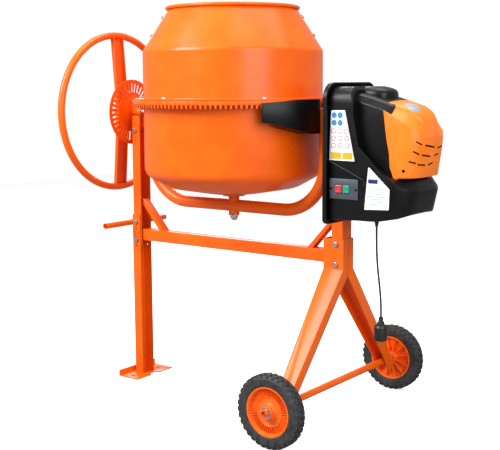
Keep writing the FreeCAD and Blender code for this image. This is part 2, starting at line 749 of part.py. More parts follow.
def makeDrive():
    pulley("large_pulley", "bigPulley", "pinionShaft", "tiltHeight")
    pulley("motor_pulley", "smallPulley", "rotorRadius", "motorHeight")
    gap = number("beltGap")
    thick = number("beltThick")
    x = number("beltX")
    outer = beltFace(number("bigPulley") + gap + thick, number("smallPulley") + gap + thick, x)
    inner = beltFace(number("bigPulley") + gap, number("smallPulley") + gap, x)
    width = Vector(number("beltWidth"), 0, 0)
    shapeNode("drive_belt", outer.extrude(width).cut(inner.extrude(width)))
    shaft = cylinder("x", "rotorRadius", "rotorEnd - rotorStart", "rotorStart", "0", "motorHeight")
    fan = cylinder("x", "fanRadius", "fanThick", "fanX", "0", "motorHeight")
    node("motor_rotor", fuse(shaft, fan))
    barrel = cylinder("x", "motorRadius", "motorEnd - motorX", "motorX", "0", "motorHeight")
    foot = box("plateX + plateWall", "-motorFootHalf", "motorHeight - motorFootDrop",
               "motorEnd - plateX - plateWall", "2 * motorFootHalf", "motorFootThick")
    bore = cylinder("x", "rotorRadius + runFit", "motorEnd - motorX", "motorX", "0", "motorHeight")
    node("motor_casing", cut(fuse(barrel, foot), bore))


# ---- stand ----

def channel(side, web, lip, half, wall, low, high):
    """A folded U channel standing up, its web away from the drum."""
    outer = "%s * (%s)" % (side, web)
    inner = "%s * (%s - %s)" % (side, web, wall)
    edge = "%s * (%s)" % (side, lip)
    corners = [(outer, "-(%s)" % half), (edge, "-(%s)" % half), (edge, "%s - %s" % (wall, half)),
               (inner, "%s - %s" % (wall, half)), (inner, "%s - %s" % (half, wall)),
               (edge, "%s - %s" % (half, wall)), (edge, half), (outer, half)]
    body = prism("XY_Plane", corners, "%s - %s" % (high, low), low)
    x = number(outer)
    y = number(half)

    def fold(edge):
        return sideAt("z", x, y)(edge) or sideAt("z", x, -y)(edge)
    return rounded(body, "bendSoft", fold)


def crossHole(x, z, radius="boltRadius"):
    return cylinder("y", "%s + boltFit" % radius, "120", x, "-60", z)


def makeLeftSide():
    saddle = cylinder("x", "leftBearing", "200", "-leftWeb - 60", "0", "tiltHeight")
    high = crossHole("-leftBoltX", "leftBoltHigh")
    low = crossHole("-leftBoltX", "leftBoltLow")
    top = crossHole("-leftBoltX", "postBoltHeight")
    post = channel("-1", "leftWeb", "postLip", "postHalf", "postWall", "postLow", "postTop")
    node("left_post", cut(post, saddle, high, low, top))
    leg = channel("-1", "legWeb", "legLip", "legHalf", "postWall", "footThick", "legTop")
    spare = crossHole("-leftBoltX", "leftBoltHigh - spareDrop", "spareHole")
    other = crossHole("-leftBoltX", "leftBoltLow - spareDrop", "spareHole")
    node("support_leg", cut(leg, crossHole("-leftBoltX", "leftBoltHigh"),
                            crossHole("-leftBoltX", "leftBoltLow"), spare, other))
    plate = box("-footLeft", "-footHalf", "0", "footLeft - footRight", "2 * footHalf", "footThick")
    lip = box("-footLeft", "-footHalf", "0", "footThick", "2 * footHalf", "footLip")
    notch = box("-footRight - footNotch", "-footNotchHalf", "-1", "footNotch + 1",
                "2 * footNotchHalf", "footThick + 2")
    front = cylinder("z", "footHole", "20", "-footHoleX", "-footHoleY", "-5")
    rear = cylinder("z", "footHole", "20", "-footHoleX", "footHoleY", "-5")
    node("foot_plate", cut(fuse(plate, lip), notch, front, rear))
    node("transport_handle", tube("y", "carryRadius", "carryRadius - carryWall", "2 * carryHalf",
                                  "-legWeb - carryRadius", "-carryHalf", "carryHeight"))
    node("left_bearing_sleeve", tube("x", "leftBearing", "leftShaft + runFit",
                                     "leftBearingEnd - bearingInner", "-leftBearingEnd", "0",
                                     "tiltHeight"))


def makeBrace(label, side):
    """A pressed channel from the post down to the crossbar, hollow towards the corner."""
    post = "postLip" if side == "-1" else "rightLip"

    def band(drop, more):
        return [("%s * (%s + %s)" % (side, post, more), "braceTop - %s" % drop),
                ("%s * (braceFoot + %s)" % (side, drop), "crossHigh - %s" % more),
                ("%s * (braceFoot + braceDepth + %s)" % (side, more), "crossHigh - %s" % more),
                ("%s * (%s + %s)" % (side, post, more), "braceTop - braceDepth - %s" % more)]
    shell = prism("XZ_Plane", band("0", "0"), "2 * braceHalf", "-braceHalf")
    hollow = prism("XZ_Plane", band("braceWall", "4"), "2 * braceHalf - 2 * braceWall",
                   "braceWall - braceHalf")
    node(label, cut(shell, hollow))


def makeCrossMembers():
    left = "-leftWeb + postWall"
    length = "leftWeb + rightWeb - 2 * postWall"
    bar = box(left, "-crossHalf", "crossLow", length, "2 * crossHalf", "crossHigh - crossLow")
    core = box(left, "crossWall - crossHalf", "crossLow + crossWall", length,
               "2 * crossHalf - 2 * crossWall", "crossHigh - crossLow - 2 * crossWall")
    node("crossbar", cut(bar, core))
    makeBrace("left_brace", "-1")
    makeBrace("right_brace", "1")


def makeWheelLeg(label, side):
    """Half of the A-frame: a pressed channel with a straight head and a tapering leg."""
    def y(text):
        return "%s * (%s)" % (side, text)
    profile = prism("YZ_Plane", [
        (y("headHalf"), "headTop"), (y("headHalf"), "kneeHeight"),
        (y("toeY"), "axleHeight - toeDrop"), (y("toeY - flangeY"),
                                              "axleHeight - toeDrop - flangeZ"),
        (y("headHalf - flangeY"), "kneeHeight - flangeZ"), (y("headHalf - flangeY"), "headTop"),
    ], "200", "axleX - 100")
    inside = prism("YZ_Plane", [
        (y("headHalf - postWall"), "headTop + 10"),
        (y("headHalf - postWall"), "kneeHeight - postWall * 0.42"),
        (y("toeY - postWall * 0.8 + 6"), "axleHeight - toeDrop - postWall * 0.6 - 8"),
        (y("toeY - flangeY - 10"), "axleHeight - toeDrop - flangeZ - 20"),
        (y("headHalf - flangeY - 16"), "kneeHeight - flangeZ - 12"),
        (y("headHalf - flangeY - 16"), "headTop + 10"),
    ], "200", "axleX - 100")

    def front(inset, more):
        return [("headLeft + " + inset, "headTop + " + more), ("headLeft + " + inset,
                                                                "kneeHeight"),
                ("axleX - toeHalf + " + inset, "axleHeight - toeDrop - flangeZ - 12"),
                ("axleX + toeHalf - " + inset, "axleHeight - toeDrop - flangeZ - 12"),
                ("headRight - " + inset, "kneeHeight"), ("headRight - " + inset,
                                                         "headTop + " + more)]
    outer = common(profile, prism("XZ_Plane", front("0", "0"), "800", "-400"))
    hollow = common(inside, prism("XZ_Plane", front("postWall", "10"), "800", "-400"))
    window = box("headLeft - 10", "-crossHalf - fitGap", "crossLow - fitGap",
                 "rightWeb - headLeft", "2 * crossHalf + 2 * fitGap",
                 "crossHigh - crossLow + 2 * fitGap")
    axle = cylinder("y", "axleRadius + boltFit", "1000", "axleX", "-500", "axleHeight")
    high = crossHole("rightBoltX", "rightBoltHigh")
    low = crossHole("rightBoltX", "rightBoltLow")
    node(label, cut(outer, hollow, window, axle, high, low))


def makeRightSide():
    saddle = cylinder("x", "rightBearing", "200", "rightLip - 60", "0", "tiltHeight")
    post = channel("1", "rightWeb", "rightLip", "rightHalf", "postWall", "rightLow", "postTop")
    high = crossHole("rightBoltX", "rightBoltHigh")
    low = crossHole("rightBoltX", "rightBoltLow")
    node("right_post", cut(post, saddle, high, low))
    node("right_bearing_sleeve", tube("x", "rightBearing", "rightTube + runFit",
                                      "rightBearingEnd - bearingInner", "bearingInner", "0",
                                      "tiltHeight"))
    makeWheelLeg("front_wheel_leg", "-1")
    makeWheelLeg("rear_wheel_leg", "1")
    pins = [cylinder("z", "pinRadius", "4 * axleRadius", "axleX", "%s * pinY" % side,
                     "axleHeight - 2 * axleRadius") for side in ("-1", "1")]
    axle = tube("y", "axleRadius", "axleRadius - axleWall", "2 * axleHalf", "axleX", "-axleHalf",
                "axleHeight")
    node("axle_tube", cut(axle, *pins))


def makeFasteners():
    """The bolts through the stand's flanges, and their nuts."""
    across = number("boltHeadAcross")
    head = number("boltHead")
    radius = number("boltRadius")
    wall = number("postWall")
    nutHeight = number("boltNut")
    joints = []
    for z in ("leftBoltHigh", "leftBoltLow"):
        joints.append((number("-leftBoltX"), number(z), number("legHalf"),
                       number("postHalf") - wall))
    for z in ("rightBoltHigh", "rightBoltLow"):
        joints.append((number("rightBoltX"), number(z), number("headHalf"),
                       number("rightHalf") - wall))
    joints.append((number("-leftBoltX"), number("postBoltHeight"), number("postHalf"),
                   number("postHalf") - wall))
    bolts = []
    nuts = []
    for x, z, outside, inside in joints:
        for side in (-1, 1):
            outward = Vector(0, side, 0)
            seat = Vector(x, side * outside, z)
            bolts.append(bolt(seat, outward, across, head, radius, outside - inside + nutHeight))
            start = Vector(x, side * inside, z)
            nuts.append(nut(start, outward * -1, across, nutHeight, radius))
    shapeNode("frame_bolts", Part.makeCompound(bolts + nuts))


# ---- hand wheel and lock ----

def makeHandWheel():
    rim = doc.addObject("Part::Torus", "Rim")
    hollow = doc.addObject("Part::Torus", "RimInside")
    solidRim = doc.addObject("Part::Torus", "RimOutside")
    for ring, tubeRadius in ((rim, "rimTube"), (hollow, "rimTube - rimWall"),
                             (solidRim, "rimTube")):
        ring.Placement = FreeCAD.Placement(Vector(), turned("x"))
        bind(ring, Radius1="rimRadius", Radius2=tubeRadius)
        place(ring, "-rimPlane", "0", "tiltHeight")
    node("handwheel_rim", cut(rim, hollow))

    def strip(depth, end):
        """The dished strip seen from the front, from the lower end to the upper one."""
        edge = "-rimPlane - 2"
        centre = "-rimPlane - 2 + spokeDish"
        return [(edge, "tiltHeight - %s" % end), (centre, "tiltHeight - spokeKnee"),
                (centre, "tiltHeight + spokeKnee"), (edge, "tiltHeight + %s" % end),
                ("%s + %s" % (edge, depth), "tiltHeight + %s" % end),
                ("%s + %s" % (centre, depth), "tiltHeight + spokeKnee"),
                ("%s + %s" % (centre, depth), "tiltHeight - spokeKnee"),
                ("%s + %s" % (edge, depth), "tiltHeight - %s" % end)]
    end = "(rimRadius - 8)"
    web = prism("XZ_Plane", strip("spokeWall", end), "2 * spokeHalf", "-spokeHalf")
    near = prism("XZ_Plane", strip("spokeFlange", end), "spokeWall", "spokeHalf - spokeWall")
    far = prism("XZ_Plane", strip("spokeFlange", end), "spokeWall", "-spokeHalf")
    node("handwheel_spokes", cut(fuse(web, near, far), solidRim, hubSpace()))
    hub = cylinder("x", "wheelHub", "rimPlane - hubEnd", "-rimPlane", "0", "tiltHeight")
    tab = box("-rimPlane + spokeDish + spokeWall - 2", "-lockTab / 2",
              "tiltHeight + lockTabLow", "rimPlane - spokeDish - spokeWall + 2 - lockTabEnd",
              "lockTab", "lockTabHigh - lockTabLow")
    arm = box("-rimPlane + spokeDish + spokeWall - 2", "-lockTab / 2", "tiltHeight + wheelHub - 2",
              "20", "lockTab", "lockTabLow - wheelHub + 4")
    bore = cylinder("x", "leftShaft + runFit", "100", "-rimPlane - 20", "0", "tiltHeight")
    node("handwheel_hub", cut(fuse(hub, tab, arm), bore))


def hubSpace():
    return cylinder("x", "wheelHub", "100", "-rimPlane - 20", "0", "tiltHeight")


def makeLockDisc():
    """A slotted disc, dished in the middle, round the end of the left bearing sleeve."""
    face = "-discPlane"
    back = "discThick - discPlane"
    disc = lathe("XZ_Plane", "H_Axis", [
        (face, "discRadius"), (face, "discDishOuter"), (face + " + discDish", "discDishInner"),
        (face + " + discDish", "leftBearing"), (back + " + discDish", "leftBearing"),
        (back + " + discDish", "discDishInner"), (back, "discDishOuter"), (back, "discRadius"),
    ])
    cutter = outline(disc, "YZ_Plane", [
        ("-slotWidth / 2", "slotLow"), ("slotWidth / 2", "slotLow"),
        ("slotWidth / 2", "slotHigh"), ("-slotWidth / 2", "slotHigh"),
    ], "-discPlane - 1")
    pocket = disc.newObject("PartDesign::Pocket", "Slot")
    pocket.Profile = cutter
    pocket.Reversed = True
    bind(pocket, Length="discThick + 2")
    doc.recompute()
    ring = disc.newObject("PartDesign::PolarPattern", "Slots")
    ring.Originals = [pocket]
    ring.Axis = (disc.Origin.OriginFeatures[0], [""])
    ring.Angle = 360
    bind(ring, Occurrences="slots")
    disc.Tip = ring
    node("tilt_lock_disc", disc, z="tiltHeight")


# ---- wheels ----

def makeWheels():
    for name, side in (("front", "-1"), ("rear", "1")):
        y = "%s * wheelY" % side
        hub = "wheelHubHalf"
        rim = lathe("YZ_Plane", "H_Axis", [
            ("-" + hub, "axleRadius + runFit"), (hub, "axleRadius + runFit"),
            (hub, "wheelHubRadius"), ("wheelDisc", "wheelHubRadius + 3"),
            ("wheelDisc", "rimRingInner - 2"), ("rimRingHalf", "rimRingInner"),
            ("rimRingHalf", "tyreInner"), ("-rimRingHalf", "tyreInner"),
            ("-rimRingHalf", "rimRingInner"), ("-wheelDisc", "rimRingInner - 2"),
            ("-wheelDisc", "wheelHubRadius + 3"), ("-" + hub, "wheelHubRadius"),
        ])
        node(name + "_wheel_rim", rim, "axleX", y, "axleHeight")
        tyre = lathe("YZ_Plane", "H_Axis", [
            ("-rimRingHalf", "tyreInner"), ("rimRingHalf", "tyreInner"),
            ("tyreHalf", "tyreSide"), ("tyreHalf", "tyreShoulder"), ("treadHalf", "tyreRadius"),
            ("-treadHalf", "tyreRadius"), ("-tyreHalf", "tyreShoulder"),
            ("-tyreHalf", "tyreSide"),
        ])
        node(name + "_tyre", tyre, "axleX", y, "axleHeight")
    washers = []
    pins = []
    for side in ("-1", "1"):
        for gap in ("-wheelHubHalf - washerGap - washerThick", "wheelHubHalf + washerGap"):
            start = "wheelY + " + gap
            if side == "-1":
                start = "-wheelY - washerThick - (%s)" % gap
            washers.append(tube("y", "washerRadius", "axleRadius", "washerThick", "axleX", start,
                                "axleHeight"))
        pins.append(cylinder("z", "pinRadius", "2 * pinHalf", "axleX", "%s * pinY" % side,
                             "axleHeight - pinHalf"))
    node("axle_washers", group(*washers))
    node("axle_pins", group(*pins))


# ---- motor housing ----

def bodySide(inset, back):
    """The wide body's outline from the side; inset keeps a wall's distance inside it."""
    return [(back, "backLow + %s" % inset), ("glandX - 30", "bodyLow + %s" % inset),
            ("glandX + 30", "bodyLow + %s" % inset),
            ("chinX - %s * 0.4" % inset, "chinLow + %s" % inset),
            ("noseLowX - %s" % inset, "noseLow + %s * 0.6" % inset),
            ("bodyNose - %s" % inset, "noseHigh - %s * 0.3" % inset),
            ("lipX - %s * 0.6" % inset, "lipHeight - %s" % inset),
            ("ledgeX - %s * 0.5" % inset, "ledgeHeight - %s" % inset),
            ("stepX - %s" % inset, "stepHeight - %s * 0.6" % inset),
            ("bodyTopX - %s" % inset, "bodyHigh - %s" % inset),
            (back, "bodyHigh - %s" % inset)]


def domeSide(inset, end):
    return [("domeX + %s" % inset, "domeLow"), ("domeX + %s" % inset, "domeHigh - %s" % inset),
            (end, "domeEndHigh - %s" % inset), (end, "domeLow")]


def capSide(inset, start):
    return [(start, "domeEndHigh - %s" % inset), ("capFrontX", "capFrontHigh - %s" % inset),
            ("capBrowX - %s * 0.5" % inset, "capBrow - %s" % inset),
            ("capCheekX - %s" % inset, "capCheek - %s * 0.6" % inset),
            ("noseReach - %s" % inset, "capNoseHigh"), ("noseReach - %s" % inset, "capNoseLow"),
            ("capChinX - %s" % inset, "capChin"), ("lipX - %s" % inset, "capFoot"),
            (start, "capFoot")]


def edgesAcross(half):
    """Picks the edges of the two side faces of a body that is symmetric about the XZ plane."""
    def test(edge):
        ys = [vertex.Point.y for vertex in edge.Vertexes]
        return all(abs(abs(y) - half) < 0.05 for y in ys)
    return test


def slab(corners, half, inset="0"):
    return prism("XZ_Plane", corners, "2 * (%s - %s)" % (half, inset), "%s - %s" % (inset, half))


def roundNose(nose, half, radius, inset="0"):
    """A tall block whose front corners are rounded as seen from above."""
    reach = "%s - %s" % (nose, inset)
    across = "%s - %s" % (half, inset)
    body = prism("XY_Plane", [("plateX", "-(%s)" % across), (reach, "-(%s)" % across),
                              (reach, across), ("plateX", across)], "bodyHigh - backLow + 60",
                 "backLow - 30")
    front = number(reach)
    side = number(across)

    def corner(edge):
        return all(abs(vertex.X - front) < 0.05 and abs(abs(vertex.Y) - side) < 0.05
                   for vertex in edge.Vertexes)
    return rounded(body, "%s - %s" % (radius, inset), corner)


def roundTop(inset="0"):
    """A long block along X whose upper corners are rounded as seen from the front."""
    across = "bodyHalf - %s" % inset
    body = prism("YZ_Plane", [("-(%s)" % across, "backLow - 30"), (across, "backLow - 30"),
                              (across, "bodyHigh - %s" % inset),
                              ("-(%s)" % across, "bodyHigh - %s" % inset)],
                 "noseReach - plateX", "plateX")
    top = number("bodyHigh - %s" % inset)
    side = number(across)

    def corner(edge):
        return all(abs(vertex.Z - top) < 0.05 and abs(abs(vertex.Y) - side) < 0.05
                   for vertex in edge.Vertexes)
    return rounded(body, "bodyTopRound - %s" % inset, corner)


def hipped(inset, start, end):
    """The space under the sloping shoulders of the dome and the cap."""
    wall = number(inset)
    half = number("domeHalf") - wall
    low = number("capFoot") - 10
    stations = []
    for x in (number(start), number("capFrontX"), number("capBrowX"), number("noseReach")):
        if x < number(end):
            stations.append(x)
    stations.append(number(end))
    wires = []
    for x in stations:
        dome = max(0, min(1, (x - number("domeX")) / number("domeEnd - domeX")))
        nose = max(0, (x - number("domeEnd")) / number("noseReach - domeEnd"))
        crease = number("domeCrease") + dome * number("capCrease - domeCrease")
        crease -= nose * number("creaseFall") + wall
        inward = number("creaseIn") + nose * number("creaseInNose - creaseIn")
        top = number("domeHigh") + dome * number("domeEndHigh - domeHigh") + 1
        top -= nose * number("domeEndHigh - capNoseHigh") * 0.4 + wall
        wires.append(Part.makePolygon([
            Vector(x, -half, low), Vector(x, -half, crease), Vector(x, inward - half, top),
            Vector(x, half - inward, top), Vector(x, half, crease), Vector(x, half, low),
            Vector(x, -half, low)]))
    made = doc.addObject("Part::Feature", "Hipped")
    made.Shape = Part.makeLoft(wires, True, True)
    return made


def wideBody(inset, back):
    side = slab(bodySide(inset, back), "bodyHalf", inset)
    if inset == "0":
        rounded(side, "housingSoft", edgesAcross(number("bodyHalf")))
    return common(side, roundNose("bodyNose", "bodyHalf", "bodyRound", inset), roundTop(inset))


def capBlock(inset, start):
    return common(slab(capSide(inset, start), "domeHalf", inset),
                  roundNose("noseReach", "domeHalf", "capRound", inset),
                  hipped(inset, start, "noseReach"))


def ventSlots():
    """Three rows of cooling slots: one at each rounded corner and two in the nose."""
    slots = []
    for row in range(3):
        height = "ventHigh - ventHalf - %d * ventStep" % row
        side = "domeHalf - capRound"
        slots.append(box("noseReach - 30", "-ventGap / 2 - %s" % side, height, "40", side,
                         "2 * ventHalf"))
        slots.append(box("noseReach - 30", "ventGap / 2", height, "40", side, "2 * ventHalf"))
        for start in ("-domeHalf - 5", "%s + ventY" % side):
            slots.append(box("ventSideX + 8", start, height, "30", "capRound + 5 - ventY",
                             "2 * ventHalf"))
    return slots


def makeHousing():
    back = "plateX + plateDepth"
    dome = common(slab(domeSide("0", "domeEnd"), "domeHalf"), hipped("0", "domeX", "domeEnd"))
    tongue = slab([("domeX", "domeHigh - 60"), ("domeX", "tongueHigh"), ("bodyTopX", "tongueHigh"),
                   ("tongueX", "tongueTip"), ("tongueX", "domeEndHigh - 20")], "tongueHalf")
    domeInside = common(slab(domeSide("housingWall", "domeEnd + 1"), "domeHalf", "housingWall"),
                        hipped("housingWall", "domeX", "domeEnd + 1"))
    switchHole = box("switchX - switchBoxHalfX - fitGap", "-bodyHalf - 1",
                     "switchHeight - switchBoxHalfZ - fitGap", "2 * switchBoxHalfX + 2 * fitGap",
                     "housingWall + 2", "2 * switchBoxHalfZ + 2 * fitGap")
    glandHole = cylinder("z", "glandNeck", "20", "glandX", "glandY", "bodyLow - 5")
    shell = fuse(wideBody("0", back), dome, tongue)
    node("motor_housing", cut(shell, wideBody("housingWall", back + " - 1"), domeInside,
                              capBlock("capWall", "domeEnd"), switchHole, glandHole))
    cap = cut(capBlock("0", "domeEnd"), capBlock("capWall", "domeEnd - 1"),
              wideBody("0", back), *ventSlots())
    node("motor_cap", cap)


def makeBackPlate():
    """A shallow tray that closes the housing and bolts to the post."""
    def tray(inset, start, depth):
        body = prism("YZ_Plane", [
            ("%s - plateHalf" % inset, "plateLow + %s" % inset),
            ("plateHalf - %s" % inset, "plateLow + %s" % inset),
            ("plateHalf - %s" % inset, "plateHigh - %s" % inset),
            ("%s - plateHalf" % inset, "plateHigh - %s" % inset)], depth, start)
        y = number("plateHalf - %s" % inset)
        low = number("plateLow + %s" % inset)
        high = number("plateHigh - %s" % inset)
        rounded(body, "plateSoftHigh - %s" % inset,
                lambda edge: sideAt("x", y, high)(edge) or sideAt("x", -y, high)(edge))
        return rounded(body, "plateSoftLow - %s" % inset,
                       lambda edge: sideAt("x", y, low)(edge) or sideAt("x", -y, low)(edge))
    outer = tray("0", "plateX", "plateDepth")
    inner = tray("plateWall * 2", "plateX + plateWall", "plateDepth")
    hole = cylinder("x", "plateBore", "20", "plateX - 5", "0", "tiltHeight")
    node("housing_back_plate", cut(outer, inner, hole))


def makeSwitch():
    plate = box("switchX - switchHalfX", "-bodyHalf - switchPlate", "switchHeight - switchHalfZ",
                "2 * switchHalfX", "switchPlate", "2 * switchHalfZ")
    shell = box("switchX - switchBoxHalfX", "-bodyHalf", "switchHeight - switchBoxHalfZ",
                "2 * switchBoxHalfX", "switchBoxDepth", "2 * switchBoxHalfZ")
    hollow = box("switchX - switchBoxHalfX + 2", "-bodyHalf", "switchHeight - switchBoxHalfZ + 2",
                 "2 * switchBoxHalfX - 4", "switchBoxDepth - 2", "2 * switchBoxHalfZ - 4")
    opening = "(buttonSide / 2 + buttonFit)"
    holes = [box("%s - %s" % (x, opening), "-bodyHalf - switchPlate - 1",
                 "switchHeight - %s" % opening, "2 * %s" % opening, "switchPlate + 2",
                 "2 * %s" % opening) for x in ("stopX", "startX")]
    node("switch_housing", cut(fuse(plate, shell), hollow, *holes))
    for label, x in (("stop_button", "stopX"), ("start_button", "startX")):
        node(label, box("%s - buttonSide / 2" % x, "-bodyHalf - switchPlate - buttonProud",
                        "switchHeight - buttonSide / 2", "buttonSide", "buttonDeep", "buttonSide"))


def makeHousingScrews():
    """Two screws at the sides of the switch plate and four in from the back plate's rim."""
    radius = number("screwRadius")
    head = number("screwHead")
    face = number("-bodyHalf - switchPlate")
    made = []
    for side in (-1, 1):
        x = number("switchX") + side * (number("switchHalfX") - 6)
        made.append(Part.makeCylinder(radius, head, Vector(x, face, number("switchHeight")),
                                      Vector(0, -1, 0)))
        for z in (number("plateLow") + 14, number("plateHigh") - 60):
            y = side * number("plateHalf - 7")
            made.append(Part.makeCylinder(radius, head, Vector(number("plateX"), y, z),
                                          Vector(-1, 0, 0)))
    shapeNode("housing_screws", Part.makeCompound(made))


# ---- lead ----

def makeLead():
    taper = cone("glandTip", "glandRadius", "bodyLow - glandLow", "glandX", "glandY", "glandLow")
    neck = cylinder("z", "glandNeck", "glandTop - bodyLow + 1", "glandX", "glandY", "bodyLow - 1")
    node("cable_gland", fuse(taper, neck))
    x = number("glandX")
    y = number("glandY")
    points = [Vector(x, y, number("glandLow")), Vector(x, y, 632), Vector(x + 5, y - 2, 562),
              Vector(x + 14, y - 1, 492), Vector(x + 20, y, 433),
              Vector(x + 20, y, number("plugTop"))]
    radii = []
    for index in range(1, len(points) - 1):
        into = points[index] - points[index - 1]
        out = points[index + 1] - points[index]
        shorter = min(into.Length, out.Length)
        radii.append(0.45 * shorter / math.tan(into.getAngle(out) / 2))
    path = bentWire(points, radii)
    solid = pipe(path, number("cordRadius"))
    expected = math.pi * number("cordRadius") ** 2 * path.Length
    print("cord arc radii", [round(radius) for radius in radii], "length", round(path.Length, 1),
          "volume over section times length", round(solid.Volume / expected, 4))
    shapeNode("power_cord", solid)
    end = points[-1]
    top = number("plugTop")
    length = number("plugLength")
    wide = number("plugRadius")
    boot = number("plugBoot")
    profile = [(0, 0), (boot - 2, 0), (boot, -18), (wide * 0.55, -24), (wide * 0.72, -34),
               (wide, -46), (wide, 4 - length), (wide - 4, -length), (0, -length)]
    corners = [end + Vector(across, 0, up) for across, up in profile]
    face = Part.Face(Part.makePolygon(corners + corners[:1]))
    shapeNode("plug_body", face.revolve(end, upright, 360))
    pins = [Part.makeCylinder(number("plugPin"), number("plugPinLength"),
                              Vector(end.x + side * number("plugPinGap"), end.y, top - length),
                              Vector(0, 0, -1)) for side in (-1, 1)]
    shapeNode("plug_pins", Part.makeCompound(pins))


makeLowerDrum()
makeUpperDrum()
for paddle in range(2):
    makePaddle(paddle)
makeDrumBolts()
for segment in range(sizes["ringSegments"]):
    makeRingSegment(segment)
makeHub()
makeYoke()
makeGuard()
makePinion()
makeDrive()
makeLeftSide()
makeCrossMembers()
makeRightSide()
makeFasteners()
makeHandWheel()
makeLockDisc()
makeWheels()
makeHousing()
makeBackPlate()
makeSwitch()
makeHousingScrews()
makeLead()
doc.recompute()

faults = [made.Label for made in doc.Objects if "Invalid" in made.State or "Error" in made.State]
for made in nodes:
    if made.Shape.isNull() or not made.Shape.isValid():
        faults.append(made.Label)
if faults:
    raise RuntimeError("failed: " + ", ".join(faults))
os.makedirs("parts", exist_ok=True)
for made in nodes:
    made.Shape.exportStep("parts/%s.step" % made.Label)
print("nodes", len(nodes))
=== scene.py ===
import math

import bmesh
import bpy
from mathutils import Matrix, Vector
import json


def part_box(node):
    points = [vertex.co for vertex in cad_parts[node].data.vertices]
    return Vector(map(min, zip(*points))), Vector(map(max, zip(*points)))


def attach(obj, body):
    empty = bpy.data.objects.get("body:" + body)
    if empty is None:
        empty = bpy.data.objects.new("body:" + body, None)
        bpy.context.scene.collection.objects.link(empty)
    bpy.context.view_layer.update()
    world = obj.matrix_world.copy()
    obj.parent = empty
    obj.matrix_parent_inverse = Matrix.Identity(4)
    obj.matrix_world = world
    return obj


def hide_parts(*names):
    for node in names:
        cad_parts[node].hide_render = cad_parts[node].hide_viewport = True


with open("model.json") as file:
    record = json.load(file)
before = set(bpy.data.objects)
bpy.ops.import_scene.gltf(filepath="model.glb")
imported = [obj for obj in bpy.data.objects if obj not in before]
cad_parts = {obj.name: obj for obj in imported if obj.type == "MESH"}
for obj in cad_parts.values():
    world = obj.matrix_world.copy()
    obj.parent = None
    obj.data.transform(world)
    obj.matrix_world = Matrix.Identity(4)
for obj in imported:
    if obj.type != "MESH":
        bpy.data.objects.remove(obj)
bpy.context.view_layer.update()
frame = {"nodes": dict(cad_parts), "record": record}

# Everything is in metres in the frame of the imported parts. The dictionaries give millimetres,
# measured from the drum's own axis, and place() turns them into the frame's metres.
hubLow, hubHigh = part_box("hub_flange")
drumX = (hubLow.x + hubHigh.x) / 2
slotOf = {part["node"]: part["material_slot"] for part in frame["record"]["subparts"]}
bodyOf = {}
for bodyName, members in frame["record"]["behaviour"]["bodies"].items():
    for member in members:
        bodyOf[member] = bodyName
shown = set()


def place(x, y, z):
    return Vector((x / 1000 + drumX, y / 1000, z / 1000))


# camera and lead come first

cameraSizes = {"spot": (2.1277, -2.8572, 1.1485), "aim": (-0.0426, 0.0157, 0.6335),
               "roll": -0.32, "lens": 72.32, "sensor": 36.0}


def makeCamera(sizes):
    data = bpy.data.cameras.new("viewpoint")
    data.lens = sizes["lens"]
    data.sensor_width = sizes["sensor"]
    data.sensor_fit = "HORIZONTAL"
    camera = bpy.data.objects.new("viewpoint", data)
    bpy.context.scene.collection.objects.link(camera)
    spot = Vector(sizes["spot"])
    turn = (Vector(sizes["aim"]) - spot).to_track_quat("-Z", "Y").to_matrix().to_4x4()
    roll = Matrix.Rotation(math.radians(sizes["roll"]), 4, "Z")
    camera.matrix_world = Matrix.Translation(spot) @ turn @ roll
    bpy.context.scene.camera = camera


makeCamera(cameraSizes)


# materials

def linear(colour):
    # an sRGB hex colour as linear red, green, blue and alpha
    parts = [int(colour[start:start + 2], 16) / 255 for start in (1, 3, 5)]
    return tuple(v / 12.92 if v <= 0.04045 else ((v + 0.055) / 1.055) ** 2.4
                 for v in parts) + (1.0,)


def addNode(tree, kind, inputs=None, **settings):
    # adds a node with its settings; an input is a value or another node's output
    node = tree.nodes.new(kind)
    for name, value in settings.items():
        setattr(node, name, value)
    for name, value in (inputs or {}).items():
        if isinstance(value, bpy.types.NodeSocket):
            tree.links.new(value, node.inputs[name])
        else:
            node.inputs[name].default_value = value
    return node


def startFinish(name, colour, **values):
    # a material with its uniform values on the shader, and the spot's coordinates to read
    material = bpy.data.materials.new(name)
    material.use_nodes = True
    tree = material.node_tree
    tree.nodes.clear()
    shader = addNode(tree, "ShaderNodeBsdfPrincipled", {"Base Color": linear(colour)})
    for socket, value in values.items():
        shader.inputs[socket.replace("_", " ")].default_value = value
    addNode(tree, "ShaderNodeOutputMaterial", {"Surface": shader.outputs["BSDF"]})
    spot = addNode(tree, "ShaderNodeTexCoord").outputs["Object"]
    return material, tree, shader, spot


def mottle(tree, spot, shader, grain, colours, spread=(0.35, 0.65)):
    # blends two near colours over patches of about the given size in millimetres
    noise = addNode(tree, "ShaderNodeTexNoise", {"Vector": spot, "Scale": 1000 / grain,
                                                 "Detail": 4.0, "Roughness": 0.6})
    ramp = addNode(tree, "ShaderNodeValToRGB", {"Fac": noise.outputs["Fac"]})
    for stop, position, colour in zip(ramp.color_ramp.elements, spread, colours):
        stop.position = position
        stop.color = linear(colour)
    tree.links.new(ramp.outputs["Color"], shader.inputs["Base Color"])
    return noise


def grain(tree, spot, shader, size, depth, detail=3.0, strength=1.0):
    # a bump of the given grain size and depth, both in millimetres
    noise = addNode(tree, "ShaderNodeTexNoise", {"Vector": spot, "Scale": 1000 / size,
                                                 "Detail": detail, "Roughness": 0.55})
    bump = addNode(tree, "ShaderNodeBump", {"Height": noise.outputs["Fac"],
                                            "Distance": depth / 1000, "Strength": strength})
    tree.links.new(bump.outputs["Normal"], shader.inputs["Normal"])
    return noise


